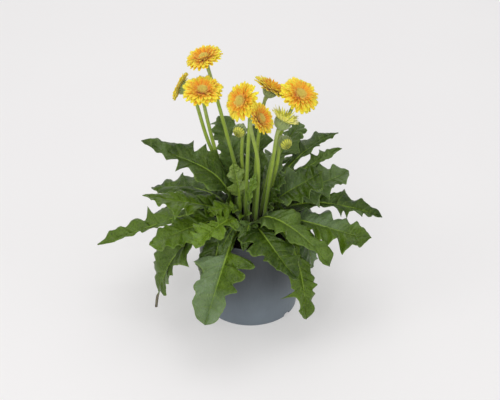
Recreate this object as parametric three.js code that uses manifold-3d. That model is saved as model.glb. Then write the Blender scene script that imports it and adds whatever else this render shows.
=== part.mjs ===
// A potted gerbera: a plastic nursery pot, the soil in it, and one plant with lobed leaves,
// seven open flowers, one half-open flower and two buds.
// Millimetres, +Z up. The origin is the middle of the pot's underside, and the front is -Y.

import * as THREE from 'three';
import { mergeVertices } from 'three/addons/utils/BufferGeometryUtils.js';
import Module from 'manifold-3d';

const wasm = await Module();
wasm.setup();

// ---------------------------------------------------------------- driving dimensions

const SEAT_GAP = 0.3; // clearance between two pieces that touch

const POT_SIDES = 36;
const POT_HEIGHT = 170;
const POT_BASE_RADIUS = 82;
const POT_RIM_RADIUS = 95;
const LIP_HEIGHT = 10;
const LIP_STEP = 2.5; // how far the lip stands out from the wall under it
const POT_WALL = 2;
const POT_FLOOR = 2.5;
const POT_FOOT_BEVEL = 1.5;
const POT_LIP_BEVEL = 1;
const DRAIN_SLOT_WIDTH = 16;
const DRAIN_SLOT_HEIGHT = 6.5;
const DRAIN_SLOT_DEPTH = 20; // cut inwards, through the whole wall
const DRAIN_SLOT_BEARINGS = [-38, 82, 202]; // degrees from +X
const FLOOR_HOLE_RADIUS = 5;
const FLOOR_HOLE_SIDES = 8;
const FLOOR_HOLE_RING = 50;
const FLOOR_HOLES = 5;

const SOIL_HEIGHT = 152;
const SOIL_EDGE_DROP = 5; // how far the soil sinks against the wall
const CROWN_TOP = 166; // every leaf stalk and flower stem stands on this level
const CROWN_RADIUS = 46;
const CROWN_BOTTOM = 138;
const CROWN_FOOT_RADIUS = 33;
const CROWN_SIDES = 24;
const YOUNG_STALK_ROOT = 6; // how deep a young leaf's stalk starts inside the crown

const BLADE = 1; // thickness of a leaf blade
const BLADE_MIN_HALF_WIDTH = 1.2;
const KEEL = 1.2; // how far the midrib stands out under the blade at its foot
const STALK_HALF_WIDTH = 3.4;
const STALK_DEPTH = 3;

const STEM_RADIUS = 3.2;
const STEM_STEPS = 11;
const CUP_RADIUS = 11.5; // green cup under an open flower
const CUP_DEPTH = 13;
const CUP_SIDES = 10;
const CUP_FLUTE = 0.06; // how far the cup's green leaves stand out, as a share of its radius
const NECK = 6; // straight end of a stem, in line with its head
const DISC_RADIUS = 8.3;
const DISC_SIDES = 14;
const PETAL_THICKNESS = 1.2;
const PETAL_HALF_WIDTH = 3.7;
const PETAL_SINK = 0.1; // how far a whorl's middle sinks into the whorl under it
const BUD_PETALS = 12;

// ---------------------------------------------------------------- colours

const finish = (color, roughness) => new THREE.MeshStandardMaterial({ color, roughness, metalness: 0 });
const POT_PLASTIC = finish(0x565d63, 0.55);
const SOIL = finish(0x1d1815, 0.95);
const CROWN = finish(0x6c7442, 0.8);
const LEAF_TONES = {
  dark: finish(0x34541f, 0.45),
  mid: finish(0x44691f, 0.45),
  light: finish(0x5d8a2c, 0.5),
};
const STEM_GREEN = finish(0x86a03c, 0.6);
const PETAL_YELLOW = finish(0xf6a81c, 0.6);
const PETAL_GREENISH = finish(0xe6d63a, 0.6);
const DISC_OLIVE = finish(0xc4a838, 0.8);

// ---------------------------------------------------------------- places of the leaves

// Lobes of a leaf from the stalk to the tip, as [place, left, right]: the place is a share of the
// blade's length, and left and right are the lobe's reach as a share of the leaf's half width.
const LOBES = {
  broad: [[0.14, 0.62, 0.7], [0.34, 1, 0.92], [0.56, 0.8, 0.86], [0.78, 0.66, 0.6]],
  stepped: [[0.12, 0.6, 0.72], [0.3, 1, 0.9], [0.47, 0.82, 0.9], [0.63, 0.68, 0.62], [0.8, 0.44, 0.5]],
  narrow: [[0.16, 0.5, 0.56], [0.36, 0.9, 1], [0.57, 0.74, 0.7], [0.76, 0.4, 0.44]],
  young: [[0.22, 0.7, 0.76], [0.5, 1, 0.94], [0.76, 0.7, 0.66]],
  small: [[0.34, 0.9, 1], [0.68, 0.8, 0.74]],
};

// The end of every blade past its last lobe, as [share of what is left, share of the last reach].
const BLADE_END = [[0.4, 0.66], [0.62, 0.56], [0.84, 0.34]];

// Cross-section of a blade as shares of its half width: each half climbs from the midrib, falls
// again towards the edge, and is waved along the edge. The pace is in radians over the leaf.
const BLADE_CLIMB = 0.45;
const BLADE_FALL = 0.28;
const WAVE_HEIGHT = 0.13;
const WAVE_PACE = 17;
const WAVE_SHIFT = 2.2; // the right edge's waves against the left edge's, in radians

// One row for each leaf. Root is [radius, bearing] on the crown, lift is the height that the stalk
// rises towards, and arch and tip are [radius, bearing, height]: the four steer the midrib's curve.
// Then the half width, the share of the length that is bare stalk, the roll in degrees (left edge
// up when positive), the lobes and the tone of green.
const LEAVES = [
  // outer leaves, which arch over the rim
  ['leaf_outer_01', [43, 250], 236, [166, 250, 130], [215, 250, 96], 46, 0.21, 0, 'broad', 'mid'],
  ['leaf_outer_02', [43, 234], 220, [126, 237, 178], [132, 241, 92], 26, 0.34, 0, 'narrow', 'dark'],
  ['leaf_outer_03', [43, 208], 197, [168, 208, 184], [181, 207, 42], 40, 0.26, 0, 'stepped', 'mid'],
  ['leaf_outer_04', [43, 176], 223, [214, 178, 128], [270, 178, 109], 34, 0.3, -14, 'narrow', 'mid'],
  ['leaf_outer_05', [43, 150], 214, [168, 148, 172], [208, 146, 74], 40, 0.28, 0, 'broad', 'dark'],
  ['leaf_outer_06', [43, 124], 214, [176, 118, 160], [214, 116, 88], 42, 0.28, 0, 'broad', 'mid'],
  ['leaf_outer_07', [44, 84], 214, [160, 88, 178], [190, 90, 62], 40, 0.28, 0, 'stepped', 'dark'],
  ['leaf_outer_08', [44, 62], 214, [170, 58, 168], [216, 56, 92], 40, 0.28, 0, 'broad', 'mid'],
  ['leaf_outer_09', [44, 354], 225, [160, 4, 200], [231, 4, 163], 38, 0.34, 22, 'stepped', 'dark'],
  ['leaf_outer_10', [43, 339], 210, [170, 346, 158], [212, 346, 165], 38, 0.28, 2, 'narrow', 'mid'],
  ['leaf_outer_11', [43, 318], 215, [135, 312, 190], [150, 309, 42], 36, 0.32, 0, 'stepped', 'mid'],
  ['leaf_outer_12', [42, 274], 215, [132, 288, 178], [168, 297, 150], 40, 0.14, 0, 'broad', 'mid'],
  ['leaf_outer_13', [43, 328], 208, [118, 331, 186], [120, 331, 108], 24, 0.34, 0, 'narrow', 'dark'],
  // middle leaves
  ['leaf_middle_01', [34, 209], 198, [124, 208, 190], [187, 205, 169], 40, 0.22, 0, 'broad', 'mid'],
  ['leaf_middle_02', [38, 192], 210, [129, 188, 214], [184, 187, 232], 42, 0.16, 0, 'broad', 'mid'],
  ['leaf_middle_03', [38, 163], 224, [145, 149, 200], [216, 146, 158], 40, 0.18, 0, 'stepped', 'dark'],
  ['leaf_middle_04', [37, 97], 232, [150, 114, 214], [214, 113, 176], 40, 0.2, 0, 'broad', 'mid'],
  ['leaf_middle_05', [36, 64], 232, [150, 72, 214], [214, 73, 170], 40, 0.24, 0, 'broad', 'dark'],
  ['leaf_middle_06', [43, 31], 230, [150, 36, 238], [199, 35, 246], 34, 0.28, 10, 'narrow', 'mid'],
  ['leaf_middle_07', [42, 14], 220, [125, 19, 206], [182, 19, 232], 40, 0.32, 8, 'broad', 'dark'],
  ['leaf_middle_08', [30, 305], 225, [120, 320, 198], [167, 322, 142], 40, 0.15, 0, 'broad', 'mid'],
  // inner leaves, which stand up before they arch
  ['leaf_inner_01', [30, 191], 290, [104, 180, 276], [190, 168, 303], 38, 0.16, -20, 'broad', 'dark'],
  ['leaf_inner_02', [38, 118], 262, [72, 118, 285], [116, 119, 318], 28, 0.26, 0, 'broad', 'dark'],
  ['leaf_inner_03', [36, 77], 262, [80, 78, 280], [124, 81, 288], 28, 0.26, 0, 'broad', 'dark'],
  ['leaf_inner_04', [36, 46], 250, [90, 54, 260], [156, 56, 290], 26, 0.3, 0, 'young', 'dark'],
  ['leaf_inner_05', [37, 27], 260, [186, 46, 262], [225, 45, 252], 36, 0.3, 0, 'narrow', 'dark'],
  ['leaf_inner_06', [32, 3], 215, [70, 1, 225], [122, 0, 266], 34, 0.2, 0, 'broad', 'mid'],
  ['leaf_inner_07', [38, 341], 225, [46, 345, 242], [60, 348, 264], 18, 0.2, 0, 'young', 'mid'],
  ['leaf_inner_08', [26, 228], 205, [52, 219, 220], [86, 214, 214], 19, 0.2, 0, 'young', 'light'],
  ['leaf_inner_09', [31, 238], 206, [98, 237, 220], [143, 231, 184], 26, 0.2, 0, 'young', 'light'],
];

// Young leaves that are still joined to the crown, in the same order of values, without name and tone.
const YOUNG_LEAVES = [
  [[34, 263], 200, [58, 262, 212], [86, 259, 206], 13, 0.24, 0, 'small'],
  [[30, 274], 206, [58, 270, 220], [84, 267, 212], 18, 0.24, 0, 'small'],
  [[20, 259], 215, [22, 268, 232], [26, 290, 252], 14, 0.2, 0, 'small'],
  [[18, 174], 220, [24, 160, 240], [34, 150, 268], 16, 0.2, 0, 'small'],
];

// ---------------------------------------------------------------- places of the flowers

// One row for each flower stem: its foot on the crown [x, y], a bend [x, y, z] that it passes on
// its way up, the middle of the head [x, y, z], the way the head faces [x, y, z], the head's
// radius, and what it carries.
const FLOWERS = [
  ['01', [-8, 19], [-42, 40, 324], [-76, 58, 448], [-0.28, -0.16, 0.95], 32, 'open'],
  ['02', [-22, 28], [-72, 46, 298], [-115, 58, 396], [-0.9, 0.3, 0.32], 27, 'open'],
  ['03', [-28, 17], [-63, 36, 300], [-78, 10, 412], [0, -0.3, 0.95], 35, 'open'],
  ['04', [-8, -6], [-5, -8, 290], [-14, -12, 405], [-0.63, -0.55, 0.55], 34, 'open'],
  ['05', [9, -16], [13, -20, 290], [14, -42, 388], [0.8, -0.28, 0.52], 27, 'open'],
  ['06', [6, 9], [13, 32, 309], [33, 46, 395], [0.48, 0.18, 0.86], 33, 'open'],
  ['07', [19, 18], [43, 27, 297], [81, 14, 403], [0.36, -0.42, 0.83], 35, 'open'],
  ['08', [24, -8], [38, -9, 296], [53, -14, 368], [0.46, 0.3, 0.84], 22, 'half'],
  ['09', [-4, 28], [-15, 38, 270], [-19, 34, 324], [-0.3, -0.92, -0.1], 10.5, 'bud'],
  ['10', [26, 11], [45, 9, 274], [59, 0, 320], [0.35, -0.92, -0.14], 10.5, 'bud'],
];

// Whorls of an open flower from the outside in: petals, reach as a share of the radius, slope in
// degrees, turn in radians.
const OPEN_WHORLS = [[13, 1, 9, 0], [12, 0.9, 22, 0.2], [8, 0.6, 42, 0.1]];

// Whorls of a half-open flower: petals, inner radius, reach as a share of the radius, half width,
// slope in degrees, turn in radians.
const HALF_OPEN_WHORLS = [[12, 6, 0.86, 1.9, 62, 0], [9, 4, 0.6, 1.6, 72, 0.2]];

// ---------------------------------------------------------------- helpers

const radians = THREE.MathUtils.degToRad;

// A point given by its distance from the axis, its bearing in degrees from +X and its height.
function polar(radius, bearing, height) {
  return new THREE.Vector3(radius * Math.cos(radians(bearing)), radius * Math.sin(radians(bearing)), height);
}

function solidOf(geometry) {
  const bare = geometry.clone();
  bare.deleteAttribute('normal');
  bare.deleteAttribute('uv');
  const merged = mergeVertices(bare, 1e-4);
  const vertProperties = Float32Array.from(merged.attributes.position.array);
  const triVerts = Uint32Array.from(merged.index.array);
  return new wasm.Manifold(new wasm.Mesh({ numProp: 3, vertProperties, triVerts }));
}

function geometryOf(solid) {
  const mesh = solid.getMesh();
  const geometry = new THREE.BufferGeometry();
  geometry.setAttribute('position', new THREE.BufferAttribute(Float32Array.from(mesh.vertProperties), 3));
  geometry.setIndex(new THREE.BufferAttribute(Uint32Array.from(mesh.triVerts), 1));
  return geometry;
}

function fuse(geometries) {
  return geometryOf(geometries.map(solidOf).reduce((whole, piece) => whole.add(piece)));
}

// A body turned from [radius, height] points about the Z axis.
function turned(profile, sides) {
  const points = profile.map(([radius, height]) => new THREE.Vector2(radius, height));
  return new THREE.LatheGeometry(points, sides).rotateX(Math.PI / 2);
}

function indexed(points, triangles) {
  const geometry = new THREE.BufferGeometry().setFromPoints(points);
  geometry.setIndex(triangles);
  return geometry;
}

function mesh(name, geometry, material) {
  const piece = new THREE.Mesh(geometry, material);
  piece.name = name;
  return piece;
}

// Repeatable numbers from 0 to 1.
function seeded(seed) {
  let state = seed * 7919 + 17;
  return () => {
    state = (state * 16807) % 2147483647;
    return state / 2147483647;
  };
}

// ---------------------------------------------------------------- pot

// Outer radius of the tapered wall at a height.
function wallRadius(height) {
  const top = POT_RIM_RADIUS - LIP_STEP;
  return POT_BASE_RADIUS + (top - POT_BASE_RADIUS) * (height / (POT_HEIGHT - LIP_HEIGHT));
}

function potGeometry() {
  const lipFoot = POT_HEIGHT - LIP_HEIGHT;
  const profile = [
    [0, 0],
    [POT_BASE_RADIUS - POT_FOOT_BEVEL, 0],
    [wallRadius(POT_FOOT_BEVEL), POT_FOOT_BEVEL],
    [wallRadius(lipFoot), lipFoot],
    [POT_RIM_RADIUS, lipFoot],
    [POT_RIM_RADIUS, POT_HEIGHT - POT_LIP_BEVEL],
    [POT_RIM_RADIUS - POT_LIP_BEVEL, POT_HEIGHT],
    [POT_RIM_RADIUS - LIP_STEP - POT_WALL, POT_HEIGHT],
    [wallRadius(POT_FLOOR) - POT_WALL, POT_FLOOR],
    [0, POT_FLOOR],
  ];
  let pot = solidOf(turned(profile, POT_SIDES));
  for (const bearing of DRAIN_SLOT_BEARINGS) {
    const slot = new THREE.BoxGeometry(DRAIN_SLOT_DEPTH, DRAIN_SLOT_WIDTH, 2 * DRAIN_SLOT_HEIGHT);
    slot.translate(POT_BASE_RADIUS, 0, 0).rotateZ(radians(bearing));
    pot = pot.subtract(solidOf(slot));
  }
  for (let i = 0; i < FLOOR_HOLES; i += 1) {
    const deep = 4 * POT_FLOOR;
    const hole = new THREE.CylinderGeometry(FLOOR_HOLE_RADIUS, FLOOR_HOLE_RADIUS, deep, FLOOR_HOLE_SIDES);
    hole.rotateX(Math.PI / 2).translate(FLOOR_HOLE_RING, 0, 0).rotateZ((2 * Math.PI * i) / FLOOR_HOLES);
    pot = pot.subtract(solidOf(hole));
  }
  return geometryOf(pot);
}

// ---------------------------------------------------------------- soil and crown

// The soil fills the pot and has a dished seat for the crown. Its open top is lumpy.
function soilGeometry() {
  const inner = (height) => wallRadius(height) - POT_WALL - 2 * SEAT_GAP;
  const bottom = POT_FLOOR + SEAT_GAP;
  const hole = CROWN_RADIUS + 2 * SEAT_GAP;
  const profile = [
    [0, bottom],
    [inner(bottom), bottom],
    [inner(SOIL_HEIGHT - SOIL_EDGE_DROP), SOIL_HEIGHT - SOIL_EDGE_DROP],
    [82, SOIL_HEIGHT - 1],
    [72, SOIL_HEIGHT],
    [60, SOIL_HEIGHT],
    [hole, SOIL_HEIGHT - 1],
    [CROWN_FOOT_RADIUS + SEAT_GAP, CROWN_BOTTOM - SEAT_GAP],
    [0, CROWN_BOTTOM - SEAT_GAP],
  ];
  const soil = turned(profile, POT_SIDES);
  const place = soil.attributes.position;
  for (let i = 0; i < place.count; i += 1) {
    const radius = Math.hypot(place.getX(i), place.getY(i));
    if (place.getZ(i) < SOIL_HEIGHT - 2 || radius < hole + 1) continue;
    const bearing = Math.atan2(place.getY(i), place.getX(i));
    const lump = 1.6 * Math.sin(7 * bearing + radius) + 1.3 * Math.sin(11 * bearing - 2 * radius);
    place.setZ(i, place.getZ(i) + lump);
  }
  return fuse([soil]);
}

// The crown is the short stock that all stalks and stems grow from, with its young leaves.
function crownGeometry() {
  const stock = turned([
    [0, CROWN_BOTTOM],
    [CROWN_FOOT_RADIUS, CROWN_BOTTOM],
    [CROWN_RADIUS, SOIL_HEIGHT + 2],
    [CROWN_RADIUS - 1, CROWN_TOP - 2],
    [CROWN_RADIUS - 4, CROWN_TOP],
    [0, CROWN_TOP],
  ], CROWN_SIDES);
  const young = YOUNG_LEAVES.map((shape, i) => leafGeometry(shape, CROWN_TOP - YOUNG_STALK_ROOT, 100 + i));
  return fuse([stock, ...young]);
}

// ---------------------------------------------------------------- leaves

const smooth = (share) => THREE.MathUtils.smoothstep(share, 0, 1);

// The midrib's curve, with the blade's side and upward directions at each share of its length.
function midrib(root, lift, arch, tip, roll, foot) {
  const start = polar(root[0], root[1], foot);
  const end = polar(...tip);
  const curve = new THREE.CubicBezierCurve3(start, polar(root[0], root[1], lift), polar(...arch), end);
  const across = new THREE.Vector3(start.y - end.y, end.x - start.x, 0).normalize();
  return {
    length: curve.getLength(),
    at(share, sideways, upwards) {
      const place = THREE.MathUtils.clamp(share, 0, 1);
      const along = curve.getTangentAt(place);
      const side = across.clone().addScaledVector(along, -across.dot(along)).normalize();
      const up = along.clone().cross(side);
      const turn = radians(roll) * smooth(place);
      const left = side.clone().multiplyScalar(Math.cos(turn)).addScaledVector(up, Math.sin(turn));
      const top = up.multiplyScalar(Math.cos(turn)).addScaledVector(side, -Math.sin(turn));
      return curve.getPointAt(place).addScaledVector(left, sideways).addScaledVector(top, upwards);
    },
  };
}

// The edge of a blade, as stations from its foot to its tip: where each crosses the midrib, and
// where its left and right ends lie, as shares of the blade's length and of the half width.
function bladeOutline(lobes, random) {
  const stations = [];
  const station = (middle, left, right, leftAlong = middle, rightAlong = middle) => {
    stations.push({ middle, left, right, leftAlong, rightAlong });
  };
  let before = 0;
  lobes.forEach(([place, left, right], i) => {
    const gap = place - before;
    const next = i + 1 < lobes.length ? lobes[i + 1][0] : 1;
    const depth = 0.3 + 0.35 * place;
    const sinus = before === 0 ? 0.03 : before + 0.3 * gap;
    const [leftBefore, rightBefore] = before === 0 ? [0.25, 0.25] : [lobes[i - 1][1], lobes[i - 1][2]];
    const jitter = () => 0.85 + 0.3 * random();
    const sweep = () => (0.12 + 0.16 * random()) * (next - place);
    station(sinus, depth * Math.min(left, leftBefore), depth * Math.min(right, rightBefore));
    station(sinus + 0.5 * (place - sinus), 0.78 * left * jitter(), 0.78 * right * jitter());
    station(place, left * jitter(), right * jitter(), place + sweep(), place + sweep());
    before = place;
  });
  const [place, left, right] = lobes[lobes.length - 1];
  for (const [share, reach] of BLADE_END) station(place + share * (1 - place), reach * left, reach * right);
  station(1, 0, 0);
  return stations;
}

// Height of the blade's face over its flat, at a place along the leaf and sideways from the midrib.
function bladeHeight(half, along, sideways, phase) {
  const out = Math.abs(sideways) / half;
  const wave = WAVE_HEIGHT * Math.sin(along * WAVE_PACE + phase + (sideways > 0 ? 0 : WAVE_SHIFT));
  return half * (BLADE_CLIMB * out + (wave - BLADE_FALL) * out * out);
}

// A leaf as one closed body: rings of six points, three on its upper face and three below.
function leafGeometry(shape, foot, seed) {
  const [root, lift, arch, tip, half, stalk, roll, kind] = shape;
  const random = seeded(seed);
  const rib = midrib(root, lift, arch, tip, roll, foot);
  const phase = 2 * Math.PI * random();
  const points = [];
  const ring = (middle, left, right, leftAlong, rightAlong, top, edge, keel, inset) => {
    const at = (share, sideways, upwards) => {
      const height = bladeHeight(half, share, sideways, phase) * smooth((share - stalk + 0.05) / 0.2);
      return rib.at(share, sideways, upwards + height);
    };
    points.push(at(leftAlong, left, top), at(middle, 0, 0.8 * top), at(rightAlong, -right, top));
    points.push(at(rightAlong, -right * inset, -edge), at(middle, 0, -keel));
    points.push(at(leftAlong, left * inset, -edge));
  };
  for (const share of [0, 0.4, 0.8]) {
    const width = STALK_HALF_WIDTH * (1 - 0.3 * share);
    const depth = STALK_DEPTH * (1 - 0.25 * share);
    ring(share * stalk, width, width, share * stalk, share * stalk, 0.45 * depth, 0.4 * depth, depth, 0.75);
  }
  const along = (share) => stalk + (1 - stalk) * share;
  for (const s of bladeOutline(LOBES[kind], random)) {
    const left = Math.max(s.left * half, BLADE_MIN_HALF_WIDTH);
    const right = Math.max(s.right * half, BLADE_MIN_HALF_WIDTH);
    const skin = BLADE / 2;
    const keel = skin + KEEL * (1 - s.middle);
    ring(along(s.middle), left, right, along(s.leftAlong), along(s.rightAlong), skin, skin, keel, 1);
  }
  return indexed(points, ringTriangles(points.length / 6));
}

// Triangles between rings of six points. The lower face is split along the same diagonals as the
// upper one, so that the thin blade keeps its thickness where it is waved.
function ringTriangles(rings) {
  const triangles = [];
  for (let j = 0; j + 1 < rings; j += 1) {
    for (let i = 0; i < 6; i += 1) {
      const a = 6 * j + i;
      const b = 6 * j + ((i + 1) % 6);
      const c = b + 6;
      const d = a + 6;
      const lower = i === 3 || i === 4;
      triangles.push(...(lower ? [a, b, d, b, c, d] : [a, b, c, a, c, d]));
    }
  }
  const end = 6 * (rings - 1);
  for (const [p, q, r] of [[4, 5, 0], [4, 0, 1], [4, 1, 2], [4, 2, 3]]) {
    triangles.push(r, q, p, end + p, end + q, end + r);
  }
  return triangles;
}

// ---------------------------------------------------------------- flowers

// Turns a body that was made round +Z so that it faces a direction, and moves it to a place.
function facing(geometry, direction, place) {
  const turn = new THREE.Quaternion().setFromUnitVectors(new THREE.Vector3(0, 0, 1), direction);
  return geometry.applyQuaternion(turn).translate(place.x, place.y, place.z);
}

// A whorl of petals cut in the outline of one thin cone: count petals from the inner radius to the
// outer one, rising at a slope in degrees from a flat middle at the given level.
function petalWhorl(count, inner, outer, halfWidth, slope, level, turn, random) {
  const rise = Math.tan(radians(slope));
  const backOut = PETAL_THICKNESS * Math.sin(radians(slope));
  const backDown = PETAL_THICKNESS * Math.cos(radians(slope));
  const top = [new THREE.Vector3(0, 0, level)];
  const under = [new THREE.Vector3(0, 0, level - PETAL_THICKNESS)];
  const place = (radius, bearing, lift = 0) => {
    const height = level + (radius - inner) * rise + lift;
    const outwards = new THREE.Vector3(Math.cos(bearing), Math.sin(bearing), 0);
    top.push(outwards.clone().multiplyScalar(radius).setZ(height));
    under.push(outwards.multiplyScalar(radius + (radius > inner ? backOut : 0)).setZ(height - backDown));
  };
  const step = (2 * Math.PI) / count;
  for (let i = 0; i < count; i += 1) {
    const bearing = turn + i * step;
    const tip = outer * (0.94 + 0.1 * random());
    const wide = inner + 0.66 * (tip - inner);
    const spread = halfWidth / wide;
    place(inner, bearing - step / 2);
    place(wide, bearing - spread, 0.3);
    place(tip, bearing, -1.2 * random());
    place(wide, bearing + spread, 0.3);
  }
  const total = 4 * count + 1;
  const triangles = [];
  const face = (a, b, c) => triangles.push(a, b, c, c + total, b + total, a + total);
  const wall = (p, q) => triangles.push(p + total, q + total, q, p + total, q, p);
  for (let i = 0; i < count; i += 1) {
    const a = 1 + 4 * i;
    const next = 1 + (4 * (i + 1)) % (4 * count);
    face(0, a, next);
    face(a, a + 1, a + 2);
    face(a, a + 2, a + 3);
    face(a, a + 3, next);
    wall(a, a + 1);
    wall(a + 1, a + 2);
    wall(a + 2, a + 3);
    wall(a + 3, next);
  }
  return indexed([...top, ...under], triangles);
}

// Height of a whorl's middle over the top of the cup.
function whorlLevel(index) {
  return PETAL_THICKNESS + index * (PETAL_THICKNESS - PETAL_SINK);
}

// Three whorls of petals on a shared middle.
function openPetals(radius, random) {
  const inner = DISC_RADIUS + 1.4;
  return fuse(OPEN_WHORLS.map(([count, reach, slope, turn], i) => {
    return petalWhorl(count, inner, reach * radius, PETAL_HALF_WIDTH, slope, whorlLevel(i), turn, random);
  }));
}

// The middle of an open flower: a low dome with a fringe of short florets round it.
function discGeometry(random) {
  const foot = whorlLevel(OPEN_WHORLS.length - 1) + SEAT_GAP;
  const profile = [
    [0, foot],
    [DISC_RADIUS - 1, foot],
    [DISC_RADIUS, foot + 2.6],
    [4.6, foot + 4],
    [0, foot + 3.4],
  ];
  const disc = turned(profile, DISC_SIDES);
  const place = disc.attributes.position;
  const lumps = Array.from({ length: DISC_SIDES }, () => random() - 0.5);
  for (let i = 0; i < place.count; i += 1) {
    const radius = Math.hypot(place.getX(i), place.getY(i));
    const floret = Math.floor(i / profile.length) % DISC_SIDES;
    if (place.getZ(i) < foot + 1 || radius < 1) continue;
    place.setZ(i, place.getZ(i) + 1.1 * (floret % 2) + 0.8 * lumps[floret]);
  }
  return fuse([disc]);
}

// A flower stem with the cup of its head, which lies behind the petals.
function stemGeometry(row) {
  const [, foot, bend, head, face, radius, kind] = row;
  const direction = new THREE.Vector3(...face).normalize();
  const middle = new THREE.Vector3(...head);
  const cup = cupGeometry(kind, radius);
  const neck = middle.clone().addScaledVector(direction, -cup.depth + 1);
  const curve = new THREE.CatmullRomCurve3([
    new THREE.Vector3(foot[0], foot[1], CROWN_TOP + SEAT_GAP),
    new THREE.Vector3(foot[0], foot[1], CROWN_TOP + 10),
    new THREE.Vector3(...bend),
    neck.clone().addScaledVector(direction, -NECK),
    neck,
  ], false, 'centripetal');
  const section = new THREE.Shape().absarc(0, 0, STEM_RADIUS, 0, 2 * Math.PI, false);
  const sweep = { steps: STEM_STEPS, curveSegments: 3, extrudePath: curve };
  const stem = new THREE.ExtrudeGeometry(section, sweep);
  return fuse([stem, facing(cup.body, direction, middle)]);
}

// The green cup of small pointed leaves that closes round a head's back, made round +Z with the
// petals' level at zero.
function cupGeometry(kind, radius) {
  const top = -SEAT_GAP;
  const profiles = {
    open: [
      [0, -CUP_DEPTH],
      [STEM_RADIUS, -CUP_DEPTH],
      [7.4, -9],
      [CUP_RADIUS - 1, -4.4],
      [CUP_RADIUS, top],
      [0, top],
    ],
    half: [[0, -14], [STEM_RADIUS, -14], [9.4, -10], [12.6, -3], [12.6, 3], [10, top], [0, top]],
    bud: [
      [0, -1.5 * radius],
      [STEM_RADIUS, -1.5 * radius],
      [0.9 * radius, -0.9 * radius],
      [radius, -0.2 * radius],
      [0.7 * radius, 0.4 * radius],
      [0.6 * radius, top],
      [0, top],
    ],
  };
  const profile = profiles[kind];
  const body = turned(profile, CUP_SIDES);
  const place = body.attributes.position;
  for (let i = 0; i < place.count; i += 1) {
    const bearing = Math.atan2(place.getY(i), place.getX(i));
    const swell = 1 + CUP_FLUTE * Math.abs(Math.cos((CUP_SIDES / 2) * bearing));
    const flat = Math.hypot(place.getX(i), place.getY(i));
    if (flat < STEM_RADIUS + 1 || place.getZ(i) === Math.fround(top)) continue;
    place.setXYZ(i, place.getX(i) * swell, place.getY(i) * swell, place.getZ(i));
  }
  return { body, depth: -profile[0][1] };
}

function halfOpenPetals(radius, random) {
  return fuse(HALF_OPEN_WHORLS.map(([count, inner, reach, halfWidth, slope, turn], i) => {
    return petalWhorl(count, inner, reach * radius, halfWidth, slope, whorlLevel(i), turn, random);
  }));
}

// The folded petals that show in the mouth of a bud.
function budPetals(radius, random) {
  const profile = [[0, 0], [0.5 * radius, 0], [0.48 * radius, 0.5 * radius], [0, 0.62 * radius]];
  const petals = turned(profile, BUD_PETALS);
  const place = petals.attributes.position;
  const tips = Array.from({ length: BUD_PETALS }, () => random());
  for (let i = 0; i < place.count; i += 1) {
    const petal = Math.floor(i / profile.length) % BUD_PETALS;
    if (i % profile.length !== 2) continue;
    place.setZ(i, place.getZ(i) + (petal % 2 ? 1.4 : -0.8) * (0.6 + tips[petal]));
  }
  return fuse([petals]);
}

// ---------------------------------------------------------------- the plant in its pot

const plant = new THREE.Group();

plant.add(mesh('pot', potGeometry(), POT_PLASTIC));
plant.add(mesh('potting_soil', soilGeometry(), SOIL));
plant.add(mesh('crown', crownGeometry(), CROWN));

LEAVES.forEach(([name, ...shape], i) => {
  const tone = LEAF_TONES[shape[8]];
  plant.add(mesh(name, leafGeometry(shape, CROWN_TOP + SEAT_GAP, i + 1), tone));
});

FLOWERS.forEach((row, i) => {
  const [number, , , head, face, radius, kind] = row;
  const direction = new THREE.Vector3(...face).normalize();
  const middle = new THREE.Vector3(...head);
  const random = seeded(200 + i);
  plant.add(mesh(`flower_stem_${number}`, stemGeometry(row), STEM_GREEN));
  if (kind === 'open') {
    const petals = facing(openPetals(radius, random), direction, middle);
    const disc = facing(discGeometry(random), direction, middle);
    plant.add(mesh(`flower_petals_${number}`, petals, PETAL_YELLOW));
    plant.add(mesh(`flower_disc_${number}`, disc, DISC_OLIVE));
  } else if (kind === 'half') {
    const petals = facing(halfOpenPetals(radius, random), direction, middle);
    plant.add(mesh(`half_open_petals_${number}`, petals, PETAL_GREENISH));
  } else {
    const petals = facing(budPetals(radius, random), direction, middle);
    plant.add(mesh(`bud_petals_${number}`, petals, PETAL_GREENISH));
  }
});

export default plant;
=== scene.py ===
"""A potted gerbera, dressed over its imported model.

Every piece is made in millimetres in the model's own frame, +Z up, with the front at -Y, and is
turned to metres when its mesh is made.
"""

import math
from functools import partial

import bpy
import numpy as np
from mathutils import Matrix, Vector


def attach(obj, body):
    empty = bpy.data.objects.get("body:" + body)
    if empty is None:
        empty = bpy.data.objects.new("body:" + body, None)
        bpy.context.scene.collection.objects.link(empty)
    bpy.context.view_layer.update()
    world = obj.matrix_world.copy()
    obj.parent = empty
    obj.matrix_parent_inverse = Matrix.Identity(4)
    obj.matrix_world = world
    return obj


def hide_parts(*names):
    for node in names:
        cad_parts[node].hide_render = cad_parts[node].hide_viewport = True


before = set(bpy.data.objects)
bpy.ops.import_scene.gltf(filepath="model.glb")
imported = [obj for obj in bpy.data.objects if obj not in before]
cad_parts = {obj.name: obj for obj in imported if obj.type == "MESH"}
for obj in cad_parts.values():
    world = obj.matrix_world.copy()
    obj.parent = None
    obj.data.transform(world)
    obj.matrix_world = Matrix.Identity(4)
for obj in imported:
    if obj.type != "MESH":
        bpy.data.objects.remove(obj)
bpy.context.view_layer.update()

MM = 0.001

# ---------------------------------------------------------------- sizes shared with the model

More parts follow.
